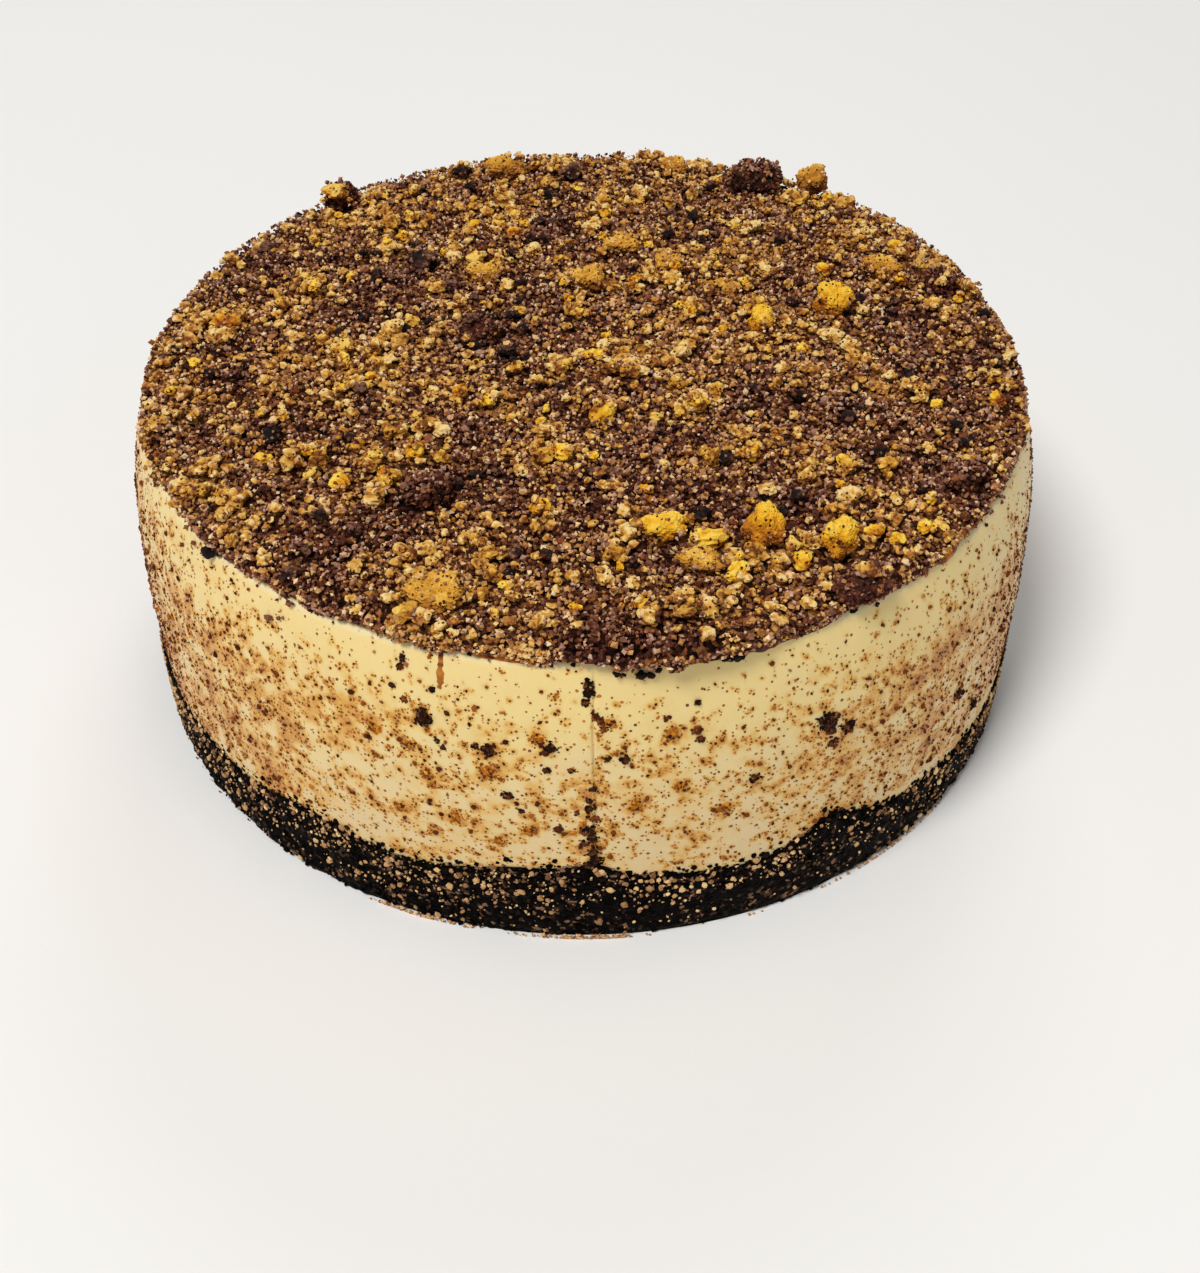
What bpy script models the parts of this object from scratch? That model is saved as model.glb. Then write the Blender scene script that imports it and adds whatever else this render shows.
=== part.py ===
"""A whole baked cheesecake: a pressed dark crumb base, a tall cream filling and mixed crumbs on top.

Metres, +Z up. The origin is at the centre of the flat underside, and the side with the seam faces -Y.
"""

import math
import random

import bmesh
import bpy
from mathutils import Matrix, Vector, noise
from mathutils.geometry import delaunay_2d_cdt

MM = 0.001
GAP = 0.35 * MM  # clear space left between solids that touch

# The pressed crumb base
FOOT_RADIUS = 102.6 * MM  # where the lower edge meets the flat underside
BASE_RADIUS = 103.3 * MM
BASE_RIM_RADIUS = 103.0 * MM
BASE_MIDDLE_HEIGHT = 14.0 * MM  # thickness under the middle of the filling
BASE_SIDE_HEIGHT = 17.0 * MM  # mean height of the wavy line on the side
BASE_RISE_START = 88.0 * MM  # from here out the base is pressed up against the tin
BASE_CRAG = 0.9 * MM
BASE_CRAG_LENGTH = 5.0 * MM
# Where the line on the side stands higher or lower: angle and width in degrees, height in mm
BASE_LINE_WAVES = (
    (32, 15, -2.2),
    (76, 9, 2.6),
    (121, 13, -2.4),
    (163, 9, 2.8),
    (196, 8, -1.6),
    (236, 8, 2.6),
    (266, 9, 4.4),
    (300, 5, 5.0),
    (327, 13, -4.2),
)
BASE_LINE_RIPPLE = 0.5 * MM
SEAM_SPIKE = 3.5 * MM  # crumbs pressed into the foot of the seam
SEAM_SPIKE_WIDTH = math.radians(3.4)

# The cream filling
FILLING_FOOT_RADIUS = 102.4 * MM
FILLING_HEIGHT = 74.0 * MM
# The side leans in towards the top, as baked filling does out of its tin: radius and height in mm
FILLING_SIDE = (
    (102.7, 34.0),
    (102.3, 46.0),
    (101.6, 54.0),
    (100.5, 61.0),
    (98.8, 68.0),
    (97.8, 71.5),
)
FILLING_RIM = ((96.8, 73.3), (95.2, 74.0))  # the rounded upper edge: radius and height in mm
FILLING_WAVE = 0.35 * MM
FILLING_WAVE_LENGTH = 26.0 * MM

# The seam that the tin's ring left in the side
SEAM_ANGLE = math.radians(-88.4)
SEAM_WIDTH = 1.1 * MM
SEAM_DEPTH = 1.6 * MM
SEAM_BOTTOM = 27.0 * MM
SEAM_TOP = 71.0 * MM
SEAM_OUTSIDE = 3.0 * MM  # how far the cutter stands out of the side
SEAM_CUTS = 6

# The layer of crumbs on top
CRUMB_LAYER_RADIUS = 95.8 * MM
CRUMB_LAYER_SHIFT = 2.0 * MM  # the crumbs lie a little towards the seam
CRUMB_LAYER_THICKNESS = 4.0 * MM
CRUMB_EDGE_THICKNESS = 1.9 * MM
CRUMB_EDGE_TAPER = 6.0 * MM  # width of the sloping rim of the layer
CRUMB_EDGE_WAVE = 0.8 * MM
# Where the crumbs lie further out: angle and width in degrees, reach in mm. The first hangs over the rim.
CRUMB_EDGE_LOBES = ((-78, 10, 3.0), (42, 20, 2.6))
CRUMB_BUMP = 1.0 * MM
CRUMB_EDGE_BUMP = 0.4 * MM
CLUMP_SWELL = 0.8 * MM
CLUMP_WIDTH = 11.0 * MM
CRUMB_LAYER_POINTS = 1560
CRUMB_EDGE_POINTS = 126
POINT_SHIFT = 0.25  # of the spacing between two points
EDGE_MARGIN = 0.7  # of the spacing, kept free inside the edge

SIDES = 84  # steps round each turned piece
SHARP_ANGLE = math.radians(40.0)
MEETING_RINGS = (0.0, 88.0 * MM, 94.5 * MM, FILLING_FOOT_RADIUS)  # shared by base and filling

SEED = 20
# The larger single crumbs, fused to what they lie on. Depth, height and lift are shares of the width.
TOP_CRUMBS = {
    "count": 36,
    "widths": (3.4 * MM, 5.4 * MM),
    "depth": (0.75, 1.0),
    "height": (0.7, 0.9),
    "lift": 0.12,
    "seed": 40,
}
FILLING_CRUMBS = {
    "count": 26,
    "seed": 90,
    "heights": (BASE_SIDE_HEIGHT + 8.0 * MM, 0.86 * FILLING_HEIGHT),
    "widths": (2.0 * MM, 3.4 * MM),
}
BASE_CRUMBS = {
    "count": 14,
    "seed": 140,
    "heights": (0.25 * BASE_SIDE_HEIGHT, 0.65 * BASE_SIDE_HEIGHT),
    "widths": (2.0 * MM, 3.0 * MM),
}

SIDE_CRUMB_LIFT = 0.05  # how far a side crumb's middle stands out, as a share of its width
SEAM_CLEARANCE = 0.05  # radians kept free of fused crumbs on each side of the seam
CHUNK_CLEARANCE = 0.6  # kept free of fused crumbs round a chunk, as a share of its width
LUMP_PUSHES = ((3.2, 0.34), (8.0, 0.16))  # how often and how far a broken surface goes in and out

# Pieces of broken biscuit that lie in the crumbs: x, y, width, depth, height in mm, turn in degrees
GOLDEN_CHUNKS = (
    (16.0, -65.5, 9.0, 6.5, 6.5, 8),
    (22.5, -74.5, 9.5, 6.5, 5.0, -12),
    (35.0, -66.0, 8.6, 8.4, 9.0, 35),
    (49.0, -69.5, 7.2, 8.0, 8.5, -20),
    (1.0, 27.0, 9.2, 8.0, 6.5, 15),
    (57.0, 17.0, 9.0, 8.6, 8.5, 50),
    (70.5, 33.0, 11.0, 7.4, 6.0, -18),
    (19.0, 34.0, 7.6, 7.0, 6.0, 70),
    (-24.0, 30.0, 8.4, 6.4, 5.5, 5),
    (39.5, 9.5, 6.6, 7.0, 6.5, 30),
    (-27.0, -84.5, 11.4, 9.0, 4.8, -18),
    (8.0, 43.5, 9.8, 8.0, 5.5, 20),
    (-21.5, 82.0, 11.2, 7.0, 6.0, 4),
    (56.5, 75.0, 9.4, 7.6, 8.0, 25),
    (22.0, 83.0, 8.2, 6.6, 6.2, -8),
)
DARK_CHUNKS = (
    (43.0, 76.0, 13.0, 8.6, 7.8, -12),
    (-30.5, -55.5, 9.2, 8.4, 6.5, 40),
    (-23.5, 3.0, 8.6, 7.0, 6.0, 15),
    (53.0, -80.0, 12.6, 7.4, 4.6, 24),
    (76.5, -48.0, 11.0, 6.2, 5.0, 48),
    (-62.0, 66.0, 8.4, 6.6, 6.2, 35),
    (82.5, 27.0, 8.2, 7.0, 5.2, -30),
)
CHUNK_SINK = 2.2 * MM  # how deep a chunk sits in the crumbs
CHUNK_FLOOR = 1.0 * MM  # crumbs left under a chunk
SOCKET_GAP = 0.45 * MM  # the sockets are cut this much wider than the chunks

CREAM = (0.86, 0.72, 0.42)
BLACK_CRUMB = (0.016, 0.012, 0.012)
MIXED_CRUMB = (0.15, 0.075, 0.035)
GOLDEN = (0.72, 0.40, 0.07)
DARK_BROWN = (0.045, 0.02, 0.015)


def clear_scene():
    for obj in list(bpy.data.objects):
        bpy.data.objects.remove(obj, do_unlink=True)


def new_collection(name):
    collection = bpy.data.collections.new(name)
    bpy.context.scene.collection.children.link(collection)
    return collection


def finish(name, color, roughness):
    """A matt food surface of one colour."""
    material = bpy.data.materials.new(name)
    material.use_nodes = True
    shader = material.node_tree.nodes["Principled BSDF"]
    shader.inputs["Base Color"].default_value = (*color, 1.0)
    shader.inputs["Roughness"].default_value = roughness
    shader.inputs["Metallic"].default_value = 0.0
    return material


def place(name, mesh, collection, material=None, at=(0.0, 0.0, 0.0), turn=0.0):
    """An object of this mesh, at a place and turned about Z."""
    obj = bpy.data.objects.new(name, mesh)
    collection.objects.link(obj)
    obj.location = at
    obj.rotation_euler.z = turn
    if material:
        mesh.materials.append(material)
    return obj


def made_mesh(obj):
    """The object's evaluated mesh, as a mesh of its own."""
    bpy.context.view_layer.update()
    evaluated = obj.evaluated_get(bpy.context.evaluated_depsgraph_get())
    return bpy.data.meshes.new_from_object(evaluated)


def smooth_step(low, high, value):
    t = min(max((value - low) / (high - low), 0.0), 1.0)
    return t * t * (3.0 - 2.0 * t)


def turned(profile, collection):
    """The mesh of a profile of (radius, height) points, from top to bottom, turned about Z."""
    mesh = bpy.data.meshes.new("profile")
    points = [(radius, 0.0, height) for radius, height in profile]
    edges = [(i, i + 1) for i in range(len(points) - 1)]
    mesh.from_pydata(points, edges, [])
    obj = bpy.data.objects.new("profile", mesh)
    collection.objects.link(obj)
    screw = obj.modifiers.new("Screw", "SCREW")
    screw.steps = SIDES
    screw.render_steps = SIDES
    screw.use_merge_vertices = True
    screw.merge_threshold = 0.00001
    result = made_mesh(obj)
    bpy.data.objects.remove(obj, do_unlink=True)
    return result


def split_quads(mesh):
    """Splits each face along its shorter diagonal, so that faces which meet are split alike."""
    form = bmesh.new()
    form.from_mesh(mesh)
    bmesh.ops.triangulate(form, faces=form.faces, quad_method="SHORT_EDGE")
    form.to_mesh(mesh)
    form.free()


def shade(mesh):
    """Smooth shading, with sharp edges kept where the faces meet at more than a slight angle."""
    mesh.shade_smooth()
    mesh.set_sharp_from_angle(angle=SHARP_ANGLE)


def bell(turn, width):
    """A smooth bump round the cake: 1 where the turn is nothing, and soon 0 beyond the width."""
    return math.exp(-((math.remainder(turn, 2.0 * math.pi) / width) ** 2))


def base_line(angle):
    """Height of the line between base and filling on the side, as uneven as it was pressed by hand."""
    height = BASE_SIDE_HEIGHT + BASE_LINE_RIPPLE * math.sin(17.0 * angle)
    for wave_angle, width, rise in BASE_LINE_WAVES:
        height += rise * MM * bell(angle - math.radians(wave_angle), math.radians(width))
    return height + SEAM_SPIKE * bell(angle - SEAM_ANGLE, SEAM_SPIKE_WIDTH)


def base_top(radius, angle):
    """Upper surface of the base: level in the middle, and rising to the line on the side."""
    rise = smooth_step(BASE_RISE_START, FILLING_FOOT_RADIUS, radius)
    return BASE_MIDDLE_HEIGHT + rise * (base_line(angle) - BASE_MIDDLE_HEIGHT)


def crag(angle, height, length):
    """Unevenness of the side, from about -1 to 1, in waves of the given length."""
    around = Vector((math.cos(angle), math.sin(angle), 0.0)) * (BASE_RADIUS / length)
    return noise.noise(around + Vector((0.0, 0.0, height / length)))


def make_base(collection, material):
    """The pressed crumb base, with a craggy side and a flat underside."""
    side = (
        (BASE_RIM_RADIUS, BASE_SIDE_HEIGHT),
        (BASE_RADIUS, 0.80 * BASE_SIDE_HEIGHT),
        (BASE_RADIUS, 0.55 * BASE_SIDE_HEIGHT),
        (BASE_RADIUS, 0.30 * BASE_SIDE_HEIGHT),
        (BASE_RADIUS, 0.08 * BASE_SIDE_HEIGHT),
        (FOOT_RADIUS, 0.0),
        (0.0, 0.0),
    )
    top = [(radius, BASE_SIDE_HEIGHT) for radius in MEETING_RINGS]
    mesh = turned([*top, *side], collection)
    for vertex in mesh.vertices:
        x, y, z = vertex.co
        radius = math.hypot(x, y)
        angle = math.atan2(y, x)
        if z > BASE_SIDE_HEIGHT - 0.01 * MM:
            vertex.co.z = base_top(radius, angle)
        elif z > 0.01 * MM:
            vertex.co.z = z * base_line(angle) / BASE_SIDE_HEIGHT
            grown = radius + BASE_CRAG * crag(angle, vertex.co.z, BASE_CRAG_LENGTH)
            vertex.co.xy = Vector((x, y)) * (grown / radius)
    split_quads(mesh)
    return place("crumb_base", mesh, collection, material)


def filling_profile():
    """Radius and height of the filling's outside, from the middle of the top to the lower edge."""
    outside = [*FILLING_RIM[::-1], *FILLING_SIDE[::-1]]
    return [
        (0.0, FILLING_HEIGHT),
        *((radius * MM, height * MM) for radius, height in outside),
        (FILLING_FOOT_RADIUS, BASE_SIDE_HEIGHT + GAP),
    ]


def side_radius(height):
    """Radius of the cake's side at a height: the base below, and the filling above its line."""
    if height < BASE_SIDE_HEIGHT:
        return BASE_RADIUS
    side = filling_profile()[:0:-1]
    for (radius_low, low), (radius_high, high) in zip(side, side[1:]):
        if height <= high:
            share = max((height - low) / (high - low), 0.0)
            return radius_low + share * (radius_high - radius_low)
    return side[-1][0]


def cut_seam(filling, cutters):
    """The groove that the tin's ring left: a slab that follows the side, cut out of it."""
    form = bmesh.new()
    bmesh.ops.create_cube(form, size=1.0)
    upright = [edge for edge in form.edges if abs(edge.verts[0].co.z - edge.verts[1].co.z) > 0.5]
    bmesh.ops.subdivide_edges(form, edges=upright, cuts=SEAM_CUTS, use_grid_fill=True)
    for vertex in form.verts:
        height = SEAM_BOTTOM + (vertex.co.z + 0.5) * (SEAM_TOP - SEAM_BOTTOM)
        depth = SEAM_DEPTH if vertex.co.x < 0.0 else -SEAM_OUTSIDE
        vertex.co = (side_radius(height) - depth, vertex.co.y * SEAM_WIDTH, height)
    form.transform(Matrix.Rotation(SEAM_ANGLE, 4, "Z"))
    mesh = bpy.data.meshes.new("seam_cutter")
    form.to_mesh(mesh)
    form.free()
    cutter = place("seam_cutter", mesh, cutters)
    cutter.hide_render = True
    cutter.display_type = "WIRE"
    groove = filling.modifiers.new("seam", "BOOLEAN")
    groove.operation = "DIFFERENCE"
    groove.object = cutter


def make_filling(collection, cutters, material):
    """The cream filling: a turned form with slight waves, which lies on the base."""
    underside = [(radius, BASE_SIDE_HEIGHT + GAP) for radius in MEETING_RINGS[-2::-1]]
    mesh = turned(filling_profile() + underside, collection)
    for vertex in mesh.vertices:
        x, y, z = vertex.co
        radius = math.hypot(x, y)
        angle = math.atan2(y, x)
        if z < BASE_SIDE_HEIGHT + 2.0 * GAP:
            vertex.co.z = base_top(radius, angle) + GAP
        elif z < FILLING_HEIGHT - 0.5 * MM:
            grown = radius + FILLING_WAVE * crag(angle, z, FILLING_WAVE_LENGTH)
            vertex.co.xy = Vector((x, y)) * (grown / radius)
    split_quads(mesh)
    filling = place("cream_filling", mesh, collection, material)
    cut_seam(filling, cutters)
    return filling


def layer_edge(angle):
    """Radius of the crumb layer's uneven edge."""
    direction = Vector((math.cos(angle), math.sin(angle), 0.0))
    wave = noise.noise(6.0 * direction) + 0.7 * noise.noise(21.0 * direction)
    radius = CRUMB_LAYER_RADIUS - CRUMB_LAYER_SHIFT * math.sin(angle)
    for lobe_angle, width, reach in CRUMB_EDGE_LOBES:
        radius += reach * MM * bell(angle - math.radians(lobe_angle), math.radians(width))
    return radius + CRUMB_EDGE_WAVE * wave


def layer_top(x, y):
    """Upper surface of the crumb layer without its single crumbs."""
    to_edge = layer_edge(math.atan2(y, x)) - math.hypot(x, y)
    inside = smooth_step(0.0, CRUMB_EDGE_TAPER, to_edge)
    thickness = (
        CRUMB_EDGE_THICKNESS + (CRUMB_LAYER_THICKNESS - CRUMB_EDGE_THICKNESS) * inside
    )
    swell = CLUMP_SWELL * noise.noise(Vector((x, y, 0.0)) / CLUMP_WIDTH) * inside
    return FILLING_HEIGHT + GAP + thickness + swell


def layer_points(rng):
    """Places of the crumb bumps: the edge first, then a sunflower spiral of slightly shifted points."""
    edge = []
    for step in range(CRUMB_EDGE_POINTS):
        angle = 2.0 * math.pi * step / CRUMB_EDGE_POINTS
        radius = layer_edge(angle)
        edge.append(Vector((radius * math.cos(angle), radius * math.sin(angle))))
    golden_angle = math.pi * (3.0 - math.sqrt(5.0))
    spacing = CRUMB_LAYER_RADIUS * math.sqrt(math.pi / CRUMB_LAYER_POINTS)
    inner = []
    for step in range(CRUMB_LAYER_POINTS):
        angle = step * golden_angle
        reach = layer_edge(angle) - EDGE_MARGIN * spacing
        radius = reach * math.sqrt((step + 0.5) / CRUMB_LAYER_POINTS)
        shift = Vector((rng.uniform(-1, 1), rng.uniform(-1, 1))) * POINT_SHIFT * spacing
        point = Vector((radius * math.cos(angle), radius * math.sin(angle)))
        inner.append(point + shift)
    return edge, inner


def make_crumb_layer(collection, material, rng):
    """The layer of crumbs as one body with a bumpy top, a low uneven edge and a flat underside."""
    edge, inner = layer_points(rng)
    count = len(edge)
    loop = [(i, (i + 1) % count) for i in range(count)]
    points, _, triangles, *_ = delaunay_2d_cdt(edge + inner, loop, [], 1, 1e-9)
    form = bmesh.new()
    for index, point in enumerate(points):
        bump = rng.uniform(-1, 1) * (CRUMB_EDGE_BUMP if index < count else CRUMB_BUMP)
        form.verts.new((*point, layer_top(*point) + bump))
    form.verts.ensure_lookup_table()
    for triangle in triangles:
        form.faces.new([form.verts[i] for i in triangle])
    above = list(form.verts)[:count]
    below = [form.verts.new((*vertex.co.xy, FILLING_HEIGHT + GAP)) for vertex in above]
    for i, j in loop:
        form.faces.new((above[i], below[i], below[j], above[j]))
    form.faces.new(below)
    bmesh.ops.recalc_face_normals(form, faces=form.faces)
    mesh = bpy.data.meshes.new("crumb_topping")
    form.to_mesh(mesh)
    form.free()
    return place("crumb_topping", mesh, collection, material)


def lump(name, size, fineness, seed):
    """The mesh of a broken piece: a ball pulled to size, with its surface pushed in and out."""
    form = bmesh.new()
    bmesh.ops.create_icosphere(form, subdivisions=fineness, radius=0.5)
    offset = Vector((seed * 3.1, seed * 1.7, seed * 0.9))
    for vertex in form.verts:
        push = sum(depth * noise.noise(vertex.co * often + offset) for often, depth in LUMP_PUSHES)
        vertex.co *= 1.0 + push
    for axis in range(3):
        values = [vertex.co[axis] for vertex in form.verts]
        low, high = min(values), max(values)
        for vertex in form.verts:
            vertex.co[axis] = (
                (vertex.co[axis] - (low + high) / 2.0) / (high - low) * size[axis]
            )
    mesh = bpy.data.meshes.new(name)
    form.to_mesh(mesh)
    form.free()
    return mesh


def make_chunks(kind, table, collection, material):
    chunks = []
    lowest = FILLING_HEIGHT + GAP + CHUNK_FLOOR + SOCKET_GAP
    for number, (x, y, width, depth, height, turn) in enumerate(table, 1):
        bottom = max(layer_top(x * MM, y * MM) - CHUNK_SINK, lowest)
        centre = (x * MM, y * MM, bottom + height * MM / 2.0)
        size = (width * MM, depth * MM, height * MM)
        name = f"{kind}_chunk_{number}"
        mesh = lump(name, size, 2, number + len(kind))
        chunks.append(place(name, mesh, collection, material, centre, math.radians(turn)))
    return chunks


def cut_sockets(layer, chunks, cutters):
    """Hollows in the crumb layer in which the chunks lie, a gap wider than the chunks."""
    sockets = bpy.data.collections.new("sockets")
    cutters.children.link(sockets)
    for chunk in chunks:
        mesh = chunk.data.copy()
        mesh.materials.clear()
        name = chunk.name + "_socket"
        socket = place(name, mesh, sockets, at=chunk.location, turn=chunk.rotation_euler.z)
        for vertex, normal in zip(mesh.vertices, chunk.data.vertex_normals):
            vertex.co += normal.vector * SOCKET_GAP
        socket.hide_render = True
        socket.display_type = "WIRE"
    cut = layer.modifiers.new("sockets", "BOOLEAN")
    cut.operation = "DIFFERENCE"
    cut.operand_type = "COLLECTION"
    cut.collection = sockets


def fuse(host, crumbs):
    """Joins small crumbs to the piece that they stick to, by one union, and applies it."""
    loose = new_collection("loose_" + host.name)
    for mesh, centre, turn in crumbs:
        place(mesh.name, mesh, loose, at=centre, turn=turn)
    union = host.modifiers.new("crumbs", "BOOLEAN")
    union.operation = "UNION"
    union.operand_type = "COLLECTION"
    union.collection = loose
    joined = made_mesh(host)
    shade(joined)
    host.modifiers.clear()
    host.data = joined
    for obj in list(loose.objects):
        bpy.data.objects.remove(obj, do_unlink=True)
    bpy.data.collections.remove(loose)


def top_crumbs(rng):
    """Crumbs on the layer that are clear of the chunks and of each other: mesh, place and turn of each."""
    taken = []
    for x, y, width, depth, _, _ in GOLDEN_CHUNKS + DARK_CHUNKS:
        taken.append((Vector((x, y)) * MM, CHUNK_CLEARANCE * max(width, depth) * MM))
    crumbs = []
    while len(crumbs) < TOP_CRUMBS["count"]:
        angle = rng.uniform(0.0, 2.0 * math.pi)
        radius = (layer_edge(angle) - CRUMB_EDGE_TAPER) * math.sqrt(rng.random())
        width = rng.uniform(*TOP_CRUMBS["widths"])
        spot = Vector((radius * math.cos(angle), radius * math.sin(angle)))
        if any((spot - at).length < reach + width for at, reach in taken):
            continue
        taken.append((spot, width / 2.0))
        depth = width * rng.uniform(*TOP_CRUMBS["depth"])
        height = width * rng.uniform(*TOP_CRUMBS["height"])
        number = len(crumbs)
        mesh = lump(f"top_crumb_{number}", (width, depth, height), 1, TOP_CRUMBS["seed"] + number)
        centre = (*spot, layer_top(*spot) + TOP_CRUMBS["lift"] * width)
        crumbs.append((mesh, centre, rng.uniform(0.0, 2.0 * math.pi)))
    return crumbs


def side_crumbs(rng, spread):
    """Crumbs on an upright side, spread round it by the golden ratio: mesh, place and turn of each."""
    golden_ratio = (math.sqrt(5.0) - 1.0) / 2.0
    low, high = spread["heights"]
    crumbs = []
    for number in range(spread["count"]):
        angle = 2.0 * math.pi * (number * golden_ratio % 1.0)
        if abs(math.remainder(angle - SEAM_ANGLE, 2.0 * math.pi)) < SEAM_CLEARANCE:
            angle += 2.0 * SEAM_CLEARANCE
        height = low + (high - low) * (number + rng.random()) / spread["count"]
        width = rng.uniform(*spread["widths"])
        radius = side_radius(height) + SIDE_CRUMB_LIFT * width
        size = (0.9 * width, width, width * rng.uniform(0.8, 1.1))
        mesh = lump(f"side_crumb_{number}", size, 1, spread["seed"] + number)
        centre = (radius * math.cos(angle), radius * math.sin(angle), height)
        crumbs.append((mesh, centre, angle))
    return crumbs


def main():
    clear_scene()
    cake = new_collection("cheesecake")
    cutters = new_collection("cutters")
    rng = random.Random(SEED)

    base = make_base(cake, finish("dark crumb base", BLACK_CRUMB, 0.8))
    filling = make_filling(cake, cutters, finish("baked cream", CREAM, 0.45))
    layer = make_crumb_layer(cake, finish("mixed crumbs", MIXED_CRUMB, 0.9), rng)
    golden = finish("golden biscuit", GOLDEN, 0.85)
    dark = finish("dark biscuit", DARK_BROWN, 0.85)
    chunks = make_chunks("golden", GOLDEN_CHUNKS, cake, golden)
    chunks += make_chunks("dark", DARK_CHUNKS, cake, dark)
    cut_sockets(layer, chunks, cutters)

    fuse(layer, top_crumbs(rng))
    fuse(filling, side_crumbs(rng, FILLING_CRUMBS))
    fuse(base, side_crumbs(rng, BASE_CRUMBS))


main()
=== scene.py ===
import math

import bpy
import numpy as np
from mathutils import Matrix, Vector


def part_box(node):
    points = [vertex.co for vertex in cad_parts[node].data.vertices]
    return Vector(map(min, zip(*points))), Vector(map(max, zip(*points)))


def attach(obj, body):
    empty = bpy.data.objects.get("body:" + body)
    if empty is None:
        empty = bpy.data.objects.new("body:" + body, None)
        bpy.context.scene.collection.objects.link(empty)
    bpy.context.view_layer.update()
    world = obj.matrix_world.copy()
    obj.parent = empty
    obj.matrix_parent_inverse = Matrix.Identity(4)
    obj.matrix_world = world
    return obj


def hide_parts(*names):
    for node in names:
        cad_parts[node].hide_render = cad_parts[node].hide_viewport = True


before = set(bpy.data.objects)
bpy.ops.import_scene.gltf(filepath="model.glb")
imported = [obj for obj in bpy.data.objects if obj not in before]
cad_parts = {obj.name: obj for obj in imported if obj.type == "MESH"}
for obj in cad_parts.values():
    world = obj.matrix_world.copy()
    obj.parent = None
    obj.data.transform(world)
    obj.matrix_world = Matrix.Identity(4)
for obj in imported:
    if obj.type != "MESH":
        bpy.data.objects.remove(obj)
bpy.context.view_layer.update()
mm = 0.001
print("frame loaded:", len(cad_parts), "nodes")


# Colours and nodes

def linearColour(hexText):
    # sRGB to linear: value / 12.92 low down, else ((value + 0.055) / 1.055) to the power 2.4
    value = np.array([int(hexText[i:i + 2], 16) for i in (1, 3, 5)]) / 255.0
    linear = np.where(value <= 0.04045, value / 12.92, ((value + 0.055) / 1.055) ** 2.4)
    return (*linear.tolist(), 1.0)


def addNode(tree, kind, settings):
    # A setting is a property, a socket's value or the output that feeds it, or a ramp's stops.
    node = tree.nodes.new("ShaderNode" + kind)
    for name, value in settings.items():
        if isinstance(value, bpy.types.NodeSocket):
            tree.links.new(value, node.inputs[name])
        elif name == "stops":
            stops = [stop.split() for stop in value.split(", ")]
            while len(node.color_ramp.elements) < len(stops):
                node.color_ramp.elements.new(0.5)
            for element, (place, colour) in zip(node.color_ramp.elements, stops):
                element.position = float(place)
                element.color = linearColour(colour)
        elif isinstance(name, int) or name in node.inputs:
            node.inputs[name].default_value = linearColour(value) if isinstance(value, str) else value
        else:
            setattr(node, name, value)
    return node.outputs


def mathNode(tree, operation, *parts):
    return addNode(tree, "Math", {"operation": operation, **dict(enumerate(parts))})[0]


def noiseNode(tree, place, size, detail, roughness=0.5):
    # Its features are about this many mm
    scale = 1.0 / (size * mm)
    return addNode(tree, "TexNoise", {"Scale": scale, "Detail": detail, "Roughness": roughness, "Vector": place})


def cellsNode(tree, place, size):
    # Random cells of this many mm: the distance from their middles, and three random numbers for each cell
    cells = addNode(tree, "TexVoronoi", {"Scale": 1.0 / (size * mm), "Vector": place})
    return cells["Distance"], addNode(tree, "SeparateColor", {"Color": cells["Color"]})


def rangeNode(tree, value, low, high, most=1.0):
    # From 0 at low to most at high
    return addNode(tree, "MapRange", {"From Min": low, "From Max": high, "To Max": most, "Value": value})["Result"]


def valueNode(tree, name):
    return addNode(tree, "Attribute", {"attribute_name": name})["Fac"]


def rampNode(tree, stops, amount):
    return addNode(tree, "ValToRGB", {"stops": stops, "Fac": amount})["Color"]


def mixNode(tree, share, under, over):
    return addNode(tree, "Mix", {"data_type": "RGBA", 0: share, 6: under, 7: over})[2]


def dotted(tree, under, place, size, limit, least, more, stops):
    # Dots in random cells: one is there where its first number is under the limit, reaches as far as
    # least + more * its second number, and takes its colour from its third.
    away, luck = cellsNode(tree, place, size)
    chosen = mathNode(tree, "LESS_THAN", luck[0], limit)
    inside = mathNode(tree, "LESS_THAN", away, mathNode(tree, "MULTIPLY_ADD", luck[1], more, least))
    return mixNode(tree, mathNode(tree, "MULTIPLY", chosen, inside), under, rampNode(tree, stops, luck[2]))


def newMaterial(name, settings):
    # The material, its tree, and the object's own coordinates
    material = bpy.data.materials.new(name)
    material.use_nodes = True
    tree = material.node_tree
    for socket, value in settings.items():
        tree.nodes["Principled BSDF"].inputs[socket].default_value = value
    return material, tree, addNode(tree, "TexCoord", {})["Object"]


def finishMaterial(tree, colour, relief=None):
    # Relief is a height with its strength, its depth in mm and whether it is turned inside out.
    sockets = tree.nodes["Principled BSDF"].inputs
    tree.links.new(colour, sockets["Base Color"])
    if relief:
        height, strength, depth, invert = relief
        bump = {"Strength": strength, "Distance": depth * mm, "invert": invert, "Height": height}
        tree.links.new(addNode(tree, "Bump", bump)["Normal"], sockets["Normal"])


# Meshes and noise

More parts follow.
